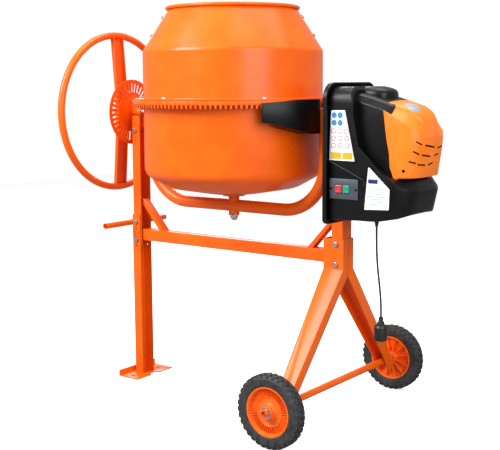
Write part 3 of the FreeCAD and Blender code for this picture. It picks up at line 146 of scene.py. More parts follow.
def gloss(tree, shader, source, low, high):
    # lets roughness drift between two values with a pattern
    spread = addNode(tree, "ShaderNodeMapRange", {"Value": source.outputs["Fac"],
                                                  "From Min": 0.3, "From Max": 0.7,
                                                  "To Min": low, "To Max": high})
    tree.links.new(spread.outputs["Result"], shader.inputs["Roughness"])


def orangePowderCoat():
    # powder coat on steel: even and glossy, with a faint orange peel about 4 mm across
    made, tree, shader, spot = startFinish("orange_powder_coat", "#F5640B", IOR=1.5,
                                           Coat_Weight=0.06, Coat_Roughness=0.2,
                                           Specular_IOR_Level=0.3)
    patches = mottle(tree, spot, shader, 90, ("#F26009", "#F7690E"))
    gloss(tree, shader, patches, 0.26, 0.36)
    grain(tree, spot, shader, 4.0, 0.035)
    return made


def orangeCastIron():
    # painted sand casting: duller than the drum, with a grain of 2 to 3 mm under the paint
    made, tree, shader, spot = startFinish("orange_painted_casting", "#F06012", IOR=1.5,
                                           Specular_IOR_Level=0.3)
    patches = mottle(tree, spot, shader, 25, ("#E8590C", "#F46B14"))
    gloss(tree, shader, patches, 0.36, 0.5)
    grain(tree, spot, shader, 2.5, 0.18)
    return made


def zincPlate():
    # bright zinc plate: pale grey metal with a fine crystalline cloud
    made, tree, shader, spot = startFinish("zinc_plate", "#C9CCCF", Metallic=1.0)
    patches = mottle(tree, spot, shader, 8, ("#B4B8BC", "#DADCDE"))
    gloss(tree, shader, patches, 0.22, 0.38)
    grain(tree, spot, shader, 1.5, 0.02)
    return made


def bareSteel():
    # turned steel: a fine grain 1.2 mm across stands in for the tool marks
    made, tree, shader, spot = startFinish("turned_steel", "#A9ABAD", Metallic=1.0)
    patches = mottle(tree, spot, shader, 12, ("#94979A", "#B9BBBD"))
    gloss(tree, shader, patches, 0.25, 0.4)
    grain(tree, spot, shader, 1.2, 0.02)
    return made


def blackAbs(name="moulded_black_abs", colours=("#0A0A0B", "#101012"), low=0.3, high=0.42):
    # moulded ABS: deep black with a fine spark-eroded grain and a soft sheen
    made, tree, shader, spot = startFinish(name, colours[0], IOR=1.53,
                                           Specular_IOR_Level=0.22)
    patches = mottle(tree, spot, shader, 60, colours)
    gloss(tree, shader, patches, low, high)
    grain(tree, spot, shader, 1.6, 0.03)
    return made


def orangeAbs():
    # moulded orange ABS of the cap: a little yellower than the paint, satin, fine grain
    made, tree, shader, spot = startFinish("moulded_orange_abs", "#F97C14", IOR=1.53,
                                           Specular_IOR_Level=0.4)
    shader.inputs["Subsurface Weight"].default_value = 0.04
    shader.inputs["Subsurface Radius"].default_value = (0.004, 0.002, 0.001)
    patches = mottle(tree, spot, shader, 70, ("#F67610", "#FC8218"))
    gloss(tree, shader, patches, 0.3, 0.4)
    grain(tree, spot, shader, 1.6, 0.03)
    return made


def wheelPolypropylene():
    # moulded polypropylene wheel centre: satin orange with a waxy skin
    made, tree, shader, spot = startFinish("orange_polypropylene", "#F4660F", IOR=1.49,
                                           Specular_IOR_Level=0.35)
    patches = mottle(tree, spot, shader, 20, ("#F06009", "#F87016"))
    gloss(tree, shader, patches, 0.34, 0.46)
    grain(tree, spot, shader, 2.0, 0.05)
    return made


def tyreRubber():
    # solid rubber tyre: charcoal, matt, with pale moulding bloom in patches
    made, tree, shader, spot = startFinish("solid_tyre_rubber", "#2A2A2C", IOR=1.52)
    patches = mottle(tree, spot, shader, 14, ("#1D1D1F", "#38383B"))
    gloss(tree, shader, patches, 0.5, 0.72)
    grain(tree, spot, shader, 1.8, 0.12)
    return made


def cordRubber():
    # rubber jacket of the lead and its boot: black, slightly waxy
    made, tree, shader, spot = startFinish("black_cord_rubber", "#131314", IOR=1.52)
    patches = mottle(tree, spot, shader, 12, ("#0F0F10", "#1B1B1D"))
    gloss(tree, shader, patches, 0.38, 0.55)
    grain(tree, spot, shader, 1.2, 0.05)
    return made


def brass():
    # plug pins: drawn brass, lightly tarnished
    made, tree, shader, spot = startFinish("drawn_brass", "#C8A04A", Metallic=1.0)
    patches = mottle(tree, spot, shader, 5, ("#B58E3C", "#D8B25C"))
    gloss(tree, shader, patches, 0.22, 0.36)
    return made


def sinteredBronze():
    # oil-filled bronze bushes: brown metal with open pores about 1 mm apart
    made, tree, shader, spot = startFinish("sintered_bronze", "#8A6236", Metallic=1.0)
    patches = mottle(tree, spot, shader, 4, ("#79542C", "#9A7144"))
    gloss(tree, shader, patches, 0.4, 0.55)
    grain(tree, spot, shader, 1.0, 0.05)
    return made


def castAluminium():
    # die-cast aluminium pulley: soft grey metal with flow marks
    made, tree, shader, spot = startFinish("die_cast_aluminium", "#B7B9BB", Metallic=1.0)
    patches = mottle(tree, spot, shader, 18, ("#A5A8AB", "#C4C6C8"))
    gloss(tree, shader, patches, 0.38, 0.52)
    grain(tree, spot, shader, 2.0, 0.05)
    return made


def motorPaint():
    # stoved motor paint: dark blue-grey with a light hammer texture
    made, tree, shader, spot = startFinish("stoved_motor_paint", "#34383D", IOR=1.5)
    patches = mottle(tree, spot, shader, 30, ("#2E3236", "#3B4046"))
    gloss(tree, shader, patches, 0.35, 0.48)
    grain(tree, spot, shader, 3.0, 0.08)
    return made


def keycapPlastic(name, colours):
    # gloss polycarbonate push button
    made, tree, shader, spot = startFinish(name, colours[0], IOR=1.58, Coat_Weight=0.3)
    patches = mottle(tree, spot, shader, 9, colours)
    gloss(tree, shader, patches, 0.2, 0.3)
    return made


def vinyl(name, colours):
    # printed vinyl sticker: flat colour under a satin laminate
    made, tree, shader, spot = startFinish(name, colours[0], IOR=1.46)
    patches = mottle(tree, spot, shader, 40, colours)
    gloss(tree, shader, patches, 0.32, 0.42)
    return made


finishes = {
    "orange_powder_coat": orangePowderCoat(), "orange_cast_iron": orangeCastIron(),
    "zinc_plated_steel": zincPlate(), "bare_steel": bareSteel(), "black_plastic": blackAbs(),
    "orange_plastic": orangeAbs(), "wheel_plastic": wheelPolypropylene(),
    "tyre_rubber": tyreRubber(), "black_rubber": cordRubber(), "plug_brass": brass(),
    "bush_bronze": sinteredBronze(), "pulley_aluminium": castAluminium(),
    "motor_paint": motorPaint(),
    "red_plastic": keycapPlastic("red_polycarbonate", ("#C42A3C", "#CC3446")),
    "green_plastic": keycapPlastic("green_polycarbonate", ("#1E8A6E", "#269678")),
}
# this grey is the switch plate's own colour, and on the raised rib a painted highlight
greyAbsAndRibHighlight = blackAbs("moulded_grey_abs_and_rib_highlight", ("#474C55", "#50555F"), 0.34, 0.46)
whiteVinyl = vinyl("white_vinyl", ("#E9EDEF", "#F2F5F6"))
blueVinyl = vinyl("blue_vinyl", ("#2C7FC0", "#3488C8"))
navyVinyl = vinyl("navy_vinyl", ("#1D2F5E", "#233768"))
roseVinyl = vinyl("rose_vinyl", ("#C8566E", "#D0627A"))
amberVinyl = vinyl("amber_vinyl", ("#EBA81C", "#F0B028"))
greyVinyl = vinyl("grey_vinyl", ("#8A949D", "#949DA5"))
print("materials ready:", len(finishes))


# shared ways of making meshes

def adopt(piece, body, nodes=()):
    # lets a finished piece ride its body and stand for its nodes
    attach(piece, body)
    if nodes:
        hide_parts(*nodes)
        shown.update(nodes)
    return piece


def newObject(name, mesh, material):
    mesh.materials.clear()
    mesh.materials.append(material)
    piece = bpy.data.objects.new(name, mesh)
    bpy.context.scene.collection.objects.link(piece)
    return piece


def fromPoints(name, points, faces, material):
    mesh = bpy.data.meshes.new(name)
    mesh.from_pydata([tuple(point) for point in points], [], faces)
    made = bmesh.new()
    made.from_mesh(mesh)
    bmesh.ops.remove_doubles(made, verts=made.verts, dist=1e-6)
    bmesh.ops.recalc_face_normals(made, faces=made.faces)
    made.to_mesh(mesh)
    made.free()
    return newObject(name, mesh, material)


def bake(piece):
    # turns the piece's modifiers into plain mesh
    bpy.context.view_layer.update()
    evaluated = piece.evaluated_get(bpy.context.evaluated_depsgraph_get())
    mesh = bpy.data.meshes.new_from_object(evaluated)
    piece.modifiers.clear()
    piece.data = mesh
    return piece


def softShade(piece, angle=38):
    piece.data.shade_smooth()
    piece.data.set_sharp_from_angle(angle=math.radians(angle))
    return piece


def roundEdges(piece, width, segments=2, angle=32):
    # rounds every edge sharper than the angle, in millimetres, and shades the result
    bevel = piece.modifiers.new("edges", "BEVEL")
    bevel.width = width / 1000
    bevel.segments = segments
    bevel.limit_method = "ANGLE"
    bevel.angle_limit = math.radians(angle)
    bevel.use_clamp_overlap = True
    bake(piece)
    return softShade(piece)


def polish(node, width=0.8, segments=2, material=None, angle=32):
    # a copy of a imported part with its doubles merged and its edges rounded
    source = frame["nodes"][node].data
    made = bmesh.new()
    made.from_mesh(source)
    bmesh.ops.remove_doubles(made, verts=made.verts, dist=2e-6)
    bmesh.ops.dissolve_limit(made, angle_limit=math.radians(0.6), verts=made.verts,
                             edges=made.edges)
    mesh = bpy.data.meshes.new(node + "_finished")
    made.to_mesh(mesh)
    made.free()
    for layer in ("custom_normal", "sharp_face", "sharp_edge"):
        if layer in mesh.attributes:
            mesh.attributes.remove(mesh.attributes[layer])
    piece = newObject(node + "_finished", mesh, material or finishes[slotOf[node]])
    roundEdges(piece, width, segments, angle)
    return adopt(piece, bodyOf[node], (node,))


def soften(corners, steps=5):
    # rounds the corners of a closed outline; each corner is across, up and its radius
    made = []
    count = len(corners)
    for index, (across, up, radius) in enumerate(corners):
        here = Vector((across, up))
        before = Vector(corners[index - 1][:2]) - here
        after = Vector(corners[(index + 1) % count][:2]) - here
        if radius <= 0:
            made.append(tuple(here))
            continue
        half = before.angle(after) / 2
        reach = min(radius / math.tan(half), before.length * 0.49, after.length * 0.49)
        first = here + before.normalized() * reach
        last = here + after.normalized() * reach
        for step in range(steps + 1):
            t = step / steps
            made.append(tuple(first * (1 - t) ** 2 + here * 2 * t * (1 - t) + last * t * t))
    return made


# turns that carry a shape made round Z onto another axis
axisTurns = {"X": Matrix.Rotation(math.radians(90), 4, "Y"),
             "Y": Matrix.Rotation(math.radians(-90), 4, "X"), "Z": Matrix.Identity(4)}


def lathe(name, outline, material, centre, axis="Z", steps=144, angle=38):
    # turns a closed outline of radius and height about an axis through centre
    points = []
    for step in range(steps):
        turn = 2 * math.pi * step / steps
        for radius, height in outline:
            points.append(Vector((radius * math.cos(turn), radius * math.sin(turn),
                                  height)) / 1000)
    count = len(outline)
    faces = []
    for step in range(steps):
        ahead = (step + 1) % steps
        for index in range(count):
            following = (index + 1) % count
            faces.append((step * count + index, ahead * count + index,
                          ahead * count + following, step * count + following))
    piece = fromPoints(name, points, faces, material)
    drop = [face for face in piece.data.polygons if face.area < 1e-12]
    if drop:
        tidy = bmesh.new()
        tidy.from_mesh(piece.data)
        bmesh.ops.dissolve_degenerate(tidy, dist=1e-7, edges=tidy.edges)
        bmesh.ops.recalc_face_normals(tidy, faces=tidy.faces)
        tidy.to_mesh(piece.data)
        tidy.free()
    turnTo = axisTurns[axis]
    piece.data.transform(Matrix.Translation(centre) @ turnTo)
    return softShade(piece, angle)


def loft(name, rings, material):
    # skins closed rings of points one after the other and closes both ends
    points = [point for ring in rings for point in ring]
    count = len(rings[0])
    faces = []
    for step in range(len(rings) - 1):
        for index in range(count):
            following = (index + 1) % count
            faces.append((step * count + index, step * count + following,
                          (step + 1) * count + following, (step + 1) * count + index))
    faces.append(tuple(range(count)))
    last = (len(rings) - 1) * count
    faces.append(tuple(last + index for index in range(count)))
    return fromPoints(name, points, faces, material)


def join(name, pieces):
    # joins loose pieces of one material into one object
    made = bmesh.new()
    for piece in pieces:
        made.from_mesh(piece.data)
    mesh = bpy.data.meshes.new(name)
    made.to_mesh(mesh)
    made.free()
    material = pieces[0].data.materials[0]
    for piece in pieces:
        bpy.data.objects.remove(piece)
    return newObject(name, mesh, material)


def prism(name, outline, low, high, material, plane="XZ"):
    # a plate between two distances from a plane, from an outline of millimetre corners
    rings = []
    for depth in (low, high):
        if plane == "XZ":
            rings.append([place(across, depth, up) for across, up in outline])
        elif plane == "XY":
            rings.append([place(across, up, depth) for across, up in outline])
        else:
            rings.append([place(depth, across, up) for across, up in outline])
    return loft(name, rings, material)


# blocks repeated round an axis, as a node tree

def socketOf(tree, name, kind, value=None):
    made = tree.interface.new_socket(name=name, in_out="INPUT", socket_type=kind)
    if value is not None:
        made.default_value = value
    return made


def makeSpunTree():
    # blocks set round the Z axis: teeth, tread, ribs, fins and webs all come from this tree
    tree = bpy.data.node_groups.new("spun_blocks", "GeometryNodeTree")
    for name, kind, value in (("Copies", "NodeSocketInt", 12), ("Radius", "NodeSocketFloat", 0.1),
                              ("Level", "NodeSocketFloat", 0.0),
                              ("Block", "NodeSocketVector", (0.01, 0.01, 0.01)),
                              ("Narrowing", "NodeSocketFloat", 1.0),
                              ("First Angle", "NodeSocketFloat", 0.0),
                              ("Sweep", "NodeSocketFloat", 2 * math.pi)):
        socketOf(tree, name, kind, value)
    socketOf(tree, "Finish", "NodeSocketMaterial")
    tree.interface.new_socket(name="Geometry", in_out="OUTPUT",
                              socket_type="NodeSocketGeometry")
    given = addNode(tree, "NodeGroupInput").outputs
    spots = addNode(tree, "GeometryNodeMeshLine", {"Count": given["Copies"]}, mode="OFFSET")
    index = addNode(tree, "GeometryNodeInputIndex")
    share = addNode(tree, "ShaderNodeMath", {0: index.outputs[0], 1: 0.5}, operation="ADD")
    pitch = addNode(tree, "ShaderNodeMath", {0: given["Sweep"], 1: given["Copies"]},
                    operation="DIVIDE")
    turn = addNode(tree, "ShaderNodeMath", {0: share.outputs[0], 1: pitch.outputs[0],
                                            2: given["First Angle"]}, operation="MULTIPLY_ADD")
    across = addNode(tree, "ShaderNodeMath", {0: turn.outputs[0]}, operation="COSINE")
    along = addNode(tree, "ShaderNodeMath", {0: turn.outputs[0]}, operation="SINE")
    reachX = addNode(tree, "ShaderNodeMath", {0: across.outputs[0], 1: given["Radius"]},
                     operation="MULTIPLY")
    reachY = addNode(tree, "ShaderNodeMath", {0: along.outputs[0], 1: given["Radius"]},
                     operation="MULTIPLY")
    spot = addNode(tree, "ShaderNodeCombineXYZ", {"X": reachX.outputs[0], "Y": reachY.outputs[0],
                                                  "Z": given["Level"]})
    moved = addNode(tree, "GeometryNodeSetPosition", {"Geometry": spots.outputs["Mesh"],
                                                      "Position": spot.outputs[0]})
    block = addNode(tree, "GeometryNodeMeshCube", {"Size": given["Block"]})
    where = addNode(tree, "GeometryNodeInputPosition")
    parts = addNode(tree, "ShaderNodeSeparateXYZ", {0: where.outputs[0]})
    under = addNode(tree, "ShaderNodeMath", {0: parts.outputs["Z"], 1: 0.0},
                    operation="LESS_THAN")
    factor = addNode(tree, "ShaderNodeMapRange", {"Value": under.outputs[0],
                                                  "To Min": 1.0, "To Max": given["Narrowing"]})
    narrow = addNode(tree, "ShaderNodeMath", {0: parts.outputs["Y"], 1: factor.outputs[0]},
                     operation="MULTIPLY")
    shape = addNode(tree, "ShaderNodeCombineXYZ", {"X": parts.outputs["X"],
                                                   "Y": narrow.outputs[0],
                                                   "Z": parts.outputs["Z"]})
    tapered = addNode(tree, "GeometryNodeSetPosition", {"Geometry": block.outputs["Mesh"],
                                                        "Position": shape.outputs[0]})
    euler = addNode(tree, "ShaderNodeCombineXYZ", {"Z": turn.outputs[0]})
    facing = addNode(tree, "FunctionNodeEulerToRotation", {0: euler.outputs[0]})
    copies = addNode(tree, "GeometryNodeInstanceOnPoints",
                     {"Points": moved.outputs["Geometry"], "Instance": tapered.outputs["Geometry"],
                      "Rotation": facing.outputs[0]})
    solid = addNode(tree, "GeometryNodeRealizeInstances", {"Geometry": copies.outputs[0]})
    painted = addNode(tree, "GeometryNodeSetMaterial", {"Geometry": solid.outputs[0],
                                                        "Material": given["Finish"]})
    addNode(tree, "NodeGroupOutput", {"Geometry": painted.outputs[0]})
    return tree


spunTree = makeSpunTree()


def spunBlocks(name, material, centre, axis="Z", edge=0.4, **values):
    # bakes the tree's blocks round a centre; lengths are in millimetres, angles in degrees
    piece = newObject(name, bpy.data.meshes.new(name), material)
    holder = piece.modifiers.new("blocks", "NODES")
    holder.node_group = spunTree
    for socket in spunTree.interface.items_tree:
        if socket.in_out != "INPUT" or socket.name not in values:
            continue
        value = values[socket.name]
        if socket.name in ("Radius", "Level"):
            value = value / 1000
        elif socket.name in ("First Angle", "Sweep"):
            value = math.radians(value)
        elif socket.name == "Block":
            value = [length / 1000 for length in value]
        holder[socket.identifier] = value
    for socket in spunTree.interface.items_tree:
        if socket.in_out == "INPUT" and socket.name == "Finish":
            holder[socket.identifier] = material
    bake(piece)
    if edge:
        roundEdges(piece, edge, 1)
    turnTo = axisTurns[axis]
    piece.data.transform(Matrix.Translation(centre) @ turnTo)
    if not piece.data.materials:
        piece.data.materials.append(material)
    return piece


# lead

leadSizes = {"route": ((628, -60, 684), (628, -60, 632), (633, -62, 562), (642, -61, 492),
                       (648, -60, 433), (648, -60, 389)),
             "diameter": 7.0, "length": 0.296}


def makeLead(sizes):
    curve = bpy.data.curves.new("lead", "CURVE")
    curve.dimensions = "3D"
    spline = curve.splines.new("NURBS")
    route = [place(*point) for point in sizes["route"]]
    spline.points.add(len(route) - 1)
    for point, spot in zip(spline.points, route):
        point.co = (*spot, 1.0)
    spline.order_u = 3
    spline.use_endpoint_u = True
    spline.resolution_u = 16
    curve.bevel_depth = sizes["diameter"] / 2000
    curve.bevel_resolution = 8
    curve.use_fill_caps = True
    curve.materials.append(finishes["black_rubber"])
    lead = bpy.data.objects.new("power_lead", curve)
    bpy.context.scene.collection.objects.link(lead)
    return adopt(lead, "frame", ("power_cord",)), route


lead, leadRoute = makeLead(leadSizes)

plugSizes = {"top": 389, "x": 648, "y": -60}


def makePlug(sizes):
    # a stepped rubber boot that widens into the plug's round body
    outline = soften([(3.4, 78, 0), (7.5, 78, 1.5), (8, 64, 2), (11.5, 62, 2), (12, 55, 3),
                      (18, 51, 5), (22, 44, 5), (22, 6, 2), (20.5, 4, 1), (20.5, 0, 1.5),
                      (0.01, 0, 0), (0.01, 70, 0), (3.4, 70, 0)])
    base = place(sizes["x"], sizes["y"], sizes["top"] - 78)
    body = lathe("plug_boot", outline, finishes["black_rubber"], base, steps=64)
    ribs = spunBlocks("plug_grip", finishes["black_rubber"], base, Copies=16, Radius=20.9,
                      Level=24, Block=(2.0, 3.2, 30), edge=0.5)
    adopt(ribs, "frame")
    return adopt(body, "frame", ("plug_body",)), ribs


plug, plugGrip = makePlug(plugSizes)
plugPins = polish("plug_pins", 0.5)

glandSizes = {"x": 628, "y": -60, "low": 684}


def makeGland(sizes):
    # strain relief: a tapered sleeve with grooves round it
    corners = [(3.2, 0, 0), (5.2, 0, 0.8)]
    for ring in range(4):
        height = 3 + ring * 4.5
        radius = 5.6 + ring * 0.8
        corners += [(radius, height, 0.4), (radius + 0.3, height + 2.8, 0.4),
                    (radius - 0.7, height + 3.0, 0.2), (radius - 0.5, height + 4.3, 0.2)]
    corners += [(9, 21.5, 0.5), (9, 24.5, 0), (8, 24.5, 0), (8, 32, 0), (3.2, 32, 0)]
    gland = lathe("lead_gland", soften(corners, 3), finishes["black_rubber"],
                  place(sizes["x"], sizes["y"], sizes["low"]), steps=48)
    adopt(gland, "frame", ("cable_gland",))


makeGland(glandSizes)
print("lead ready")


# drum

drumSizes = {"radius": 320, "wall": 2.5, "seam": 1088.5, "flangeLow": 350, "flangeHigh": 352,
             "coneStart": 1255, "mouthRadius": 227, "mouthHeight": 1402, "bead": 6.5,
             "beadRadius": 232, "beadHeight": 1404, "dishBottom": 751}


def makeUpperDrum(sizes):
    # straight wall, soft shoulder, cone and a rolled bead round the mouth
    radius, seam, top = sizes["radius"], sizes["seam"], sizes["mouthHeight"]
    inside = radius - sizes["wall"]
    outer = [(inside, seam, 0), (sizes["flangeHigh"], seam, 0.6),
             (sizes["flangeHigh"], seam + 2.5, 1.0), (radius, seam + 2.5, 3.5),
             (radius, sizes["coneStart"], 26), (sizes["mouthRadius"] + 1.2, top - 2.5, 0)]
    bead = []
    for step in range(15):
        turn = math.radians(-55 + step * 18)
        bead.append((sizes["beadRadius"] + sizes["bead"] * math.cos(turn),
                     sizes["beadHeight"] + sizes["bead"] * math.sin(turn), 0))
    inner = [(sizes["mouthRadius"] - 2.6, top - 3, 0), (inside, sizes["coneStart"] - 0.7, 26)]
    drum = lathe("drum_upper_shell", soften(outer + bead + inner, 8),
                 finishes["orange_powder_coat"], Vector((drumX, 0, 0)), steps=192, angle=30)
    adopt(drum, "drum", ("upper_drum",))


def makeLowerDrum(sizes):
    # a pressed bowl with a flat bottom, a dished ring and a wide corner
    radius, seam, low = sizes["radius"], sizes["seam"], sizes["dishBottom"]
    inside = radius - sizes["wall"]
    outline = soften([(10.3, low, 0), (100, low, 10), (235, low + 24, 60),
                      (radius, low + 71, 42), (radius, seam - 2.5, 3.5),
                      (sizes["flangeLow"], seam - 2.5, 0.8), (sizes["flangeLow"], seam, 0.8),
                      (inside, seam, 0), (inside, low + 72.5, 40), (233.7, low + 26.5, 58),
                      (100, low + 2.5, 10), (10.3, low + 2.5, 0)], 9)
    drum = lathe("drum_lower_shell", outline, finishes["orange_powder_coat"],
                 Vector((drumX, 0, 0)), steps=192, angle=30)
    adopt(drum, "drum", ("lower_drum",))


makeUpperDrum(drumSizes)
makeLowerDrum(drumSizes)
print("drum ready")

ringSizes = {"inner": 334, "outer": 358.5, "top": 1086, "band": 14, "depth": 13.5,
             "teeth": 33, "root": 9.2, "narrowing": 0.38, "gap": 0.08}


def makeRingSegments(sizes):
    # four cast quarters of the ring gear, each with its own row of teeth
    for quarter in range(4):
        low = sizes["top"] - sizes["band"]
        rings = []
        for step in range(31):
            turn = math.radians(90 * quarter + sizes["gap"]
                                + (90 - 2 * sizes["gap"]) * step / 30)
            ring = []
            for radius, height in ((sizes["inner"], low), (sizes["outer"] - 0.3, low),
                                   (sizes["outer"] - 0.3, sizes["top"] - 0.1),
                                   (sizes["inner"], sizes["top"] - 0.1)):
                ring.append(place(radius * math.cos(turn), radius * math.sin(turn), height))
            rings.append(ring)
        band = roundEdges(loft("band", rings, finishes["orange_cast_iron"]), 1.2, 2, 40)
        reach = (sizes["inner"] + sizes["outer"]) / 2 - 0.4
        width = sizes["outer"] - sizes["inner"] - 1.0
        teeth = spunBlocks("teeth", finishes["orange_cast_iron"], Vector((drumX, 0, 0)),
                           Copies=sizes["teeth"], Radius=reach,
                           Level=low - sizes["depth"] / 2 + 0.5,
                           Block=(width, sizes["root"], sizes["depth"] - 0.5),
                           Narrowing=sizes["narrowing"], Sweep=90.0,
                           **{"First Angle": 90.0 * quarter}, edge=0.7)
        segment = softShade(join("ring_gear_quarter_%d" % (quarter + 1), [band, teeth]), 30)
        adopt(segment, "drum", ("ring_gear_segment_%d" % (quarter + 1),))


makeRingSegments(ringSizes)
print("ring gear ready")


# motor housing

bodySizes = {
    # outline of the side wall's upper and lower edges, and of the step's inner edge
    "upper": ((497, 1085), (575, 1085), (583.5, 1075), (584, 1040), (593, 992), (603, 945),
              (619, 929), (636, 914), (666, 884), (687, 863)),
    "inner": ((497, 1130), (566, 1130), (574, 1122), (575, 1060), (583, 990), (593.7, 936),
              (612, 917), (631, 899), (668, 871), (684, 862)),
    "noseUpper": (851, 834, 820, 812, 808, 806, 806), "noseInner": 838,
    "half": 139, "innerHalf": 105, "round": 90, "roundStart": 687,
    "noseReach": 777, "noseTaper": 17, "topRound": 45}


def follow(spots, x):
    # reads a value from a list of reach and value pairs
    for (x1, v1), (x2, v2) in zip(spots, spots[1:]):
        if x <= x2:
            return v1 + (v2 - v1) * max(0.0, (x - x1) / (x2 - x1))
    return spots[-1][1]


lowerLine = ((497, 702), (598, 708), (658, 708), (716, 717), (750, 722), (768, 729), (777, 734))


def bodyColumns(sizes):
    # columns of points from the back of the side wall round to the middle of the nose
    columns = []
    for (x, high), (xi, zi) in zip(sizes["upper"], sizes["inner"]):
        curved = max(0.0, min(1.0, (high - 1042) / 38))
        columns.append((x, -sizes["half"], x, follow(lowerLine, x), high, xi, -sizes["innerHalf"], zi,
                        curved))
    count = len(sizes["noseUpper"])
    centreY = sizes["half"] - sizes["round"]
    for step in range(1, count + 1):
        turn = math.radians(90 * step / count)
        x = sizes["roundStart"] + sizes["round"] * math.sin(turn)
        y = -centreY - sizes["round"] * math.cos(turn)
        taper = sizes["noseTaper"] * math.sin(turn)
        xi = sizes["roundStart"] - 3 + (sizes["round"] - 14) * math.sin(turn)
        yi = -centreY - (sizes["round"] - 34) * math.cos(turn)
        zi = 862 + (sizes["noseInner"] - 862) * min(1.0, step / 3)
        columns.append((x, y, x - taper, follow(lowerLine, x), sizes["noseUpper"][step - 1], xi, yi, zi,
                        0.0))
    last = columns[-1]
    columns.append((last[0], 0, last[2], last[3], last[4], last[5], 0, last[7], 0.0))
    return columns


def makeWideBody(sizes):
    # the wide lower moulding with its stepped shoulder and rounded nose
    steps = 5
    rows = []
    for x, y, lowX, low, high, xi, yi, zi, curved in bodyColumns(sizes):
        reach = 1 if y == 0 else abs(y)
        row = [(lowX - 10 * (lowX > 700), y * max(0, reach - 30) / reach, low),
               (lowX, y * max(0, reach - 7) / reach, low + 0.6),
               (lowX + 0.5, y * max(0, reach - 2) / reach, low + 3), (lowX + 1, y, low + 9),
               (x, y, high - 8), (x, y, high)]
        for step in range(1, steps + 1):
            t = step / steps
            flat = Vector((x, y, high)).lerp(Vector((xi, yi, zi)), t)
            turn = math.radians(90 * t)
            arc = Vector((x + (xi - x) * t, y + sizes["topRound"] * (1 - math.cos(turn)),
                          high + sizes["topRound"] * math.sin(turn)))
            row.append(tuple(flat.lerp(arc, curved)))
        rows.append(row)
    points = []
    count = len(rows[0])
    for side in (1, -1):
        for row in rows:
            points += [place(x, y * side, z) for x, y, z in row]
    offset = len(rows) * count
    faces = []
    for start in (0, offset):
        for column in range(len(rows) - 1):
            for index in range(count - 1):
                a = start + column * count + index
                faces.append((a, a + count, a + count + 1, a + 1))
    for column in range(len(rows) - 1):
        a = column * count
        faces.append((a, a + offset, a + offset + count, a + count))
        b = a + count - 1
        faces.append((b, b + count, b + offset + count, b + offset))
    faces.append(tuple(range(count)) + tuple(offset + count - 1 - i for i in range(count)))
    body = fromPoints("housing_body", points, faces, finishes["black_plastic"])
    return roundEdges(body, 2.4, 3, 24)


domeSizes = {
    # stations along the housing: reach, half width, crease height and top height
    "stations": ((520, 105, 1100, 1122), (575, 105, 1085, 1113), (625, 105, 1071, 1101),
                 (676, 105, 1056, 1085), (701, 105, 1041, 1078)),
    "low": 830}
tongueSizes = {
    "stations": ((560, 60, 1131), (600, 60, 1131), (620, 58, 1128), (635, 52, 1124),
                 (645, 42, 1120), (652, 26, 1116), (655, 8, 1113)),
    "wall": 1096, "low": 1070}
capSizes = {
    "borders": ((838, 716), (849, 709), (870, 698), (914, 697), (977, 683), (1056, 673),
                (1085, 677)),
    "half": 105.8, "round": 60, "roundStart": 736, "noseFoot": 848, "noseTaper": 18,
    "taperFrom": 950}


def roofRow(x, half, crease, top, tilt=0.12, share=0.62):
    # one side of a hipped section, from the crease up to the middle of the top
    row = [(x, -half, crease)]
    for step in range(1, 4):
        t = step / 3
        row.append((x, -half * (1 - tilt * t), crease + (top - crease) * share * t))
    for step in range(1, 7):
        turn = math.radians(90 * step / 6)
        row.append((x, -half * (1 - tilt) * math.cos(turn) ** 0.8,
                    crease + (top - crease) * (share + (1 - share) * math.sin(turn) ** 0.9)))
    return row


def mirrored(row):
    # a closed ring from one side's points, which end on the middle plane
    other = [(x, -y, z) for x, y, z in reversed(row[:-1])]
    return [place(*point) for point in row + other]


def makeDome(sizes):
    rings = []
    for x, half, crease, top in sizes["stations"]:
        rings.append(mirrored([(x, -half, sizes["low"])] + roofRow(x, half, crease, top)))
    return roundEdges(loft("housing_dome", rings, finishes["black_plastic"]), 2.5, 3, 18)


def makeTongue(sizes):
    rings = []
    for x, half, top in sizes["stations"]:
        row = [(x, -half, sizes["low"]), (x, -half, sizes["wall"])]
        for step in range(1, 9):
            turn = math.radians(90 * step / 8)
            row.append((x, -half * math.cos(turn) ** 0.55,
                        sizes["wall"] + (top - sizes["wall"]) * math.sin(turn) ** 0.7))
        rings.append(mirrored(row))
    return roundEdges(loft("housing_tongue", rings, finishes["black_plastic"]), 1.5, 2, 30)


for part in (makeWideBody(bodySizes), makeDome(domeSizes), makeTongue(tongueSizes)):
    adopt(part, "frame", ("motor_housing",))


creaseLine = ((676, 1056), (737, 1022), (768, 1001), (790, 985), (796, 975))
topLine = ((676, 1086), (705, 1080), (737, 1072), (760, 1060), (775, 1045), (785, 1026),
           (792, 1003), (795, 985), (796, 975.6))


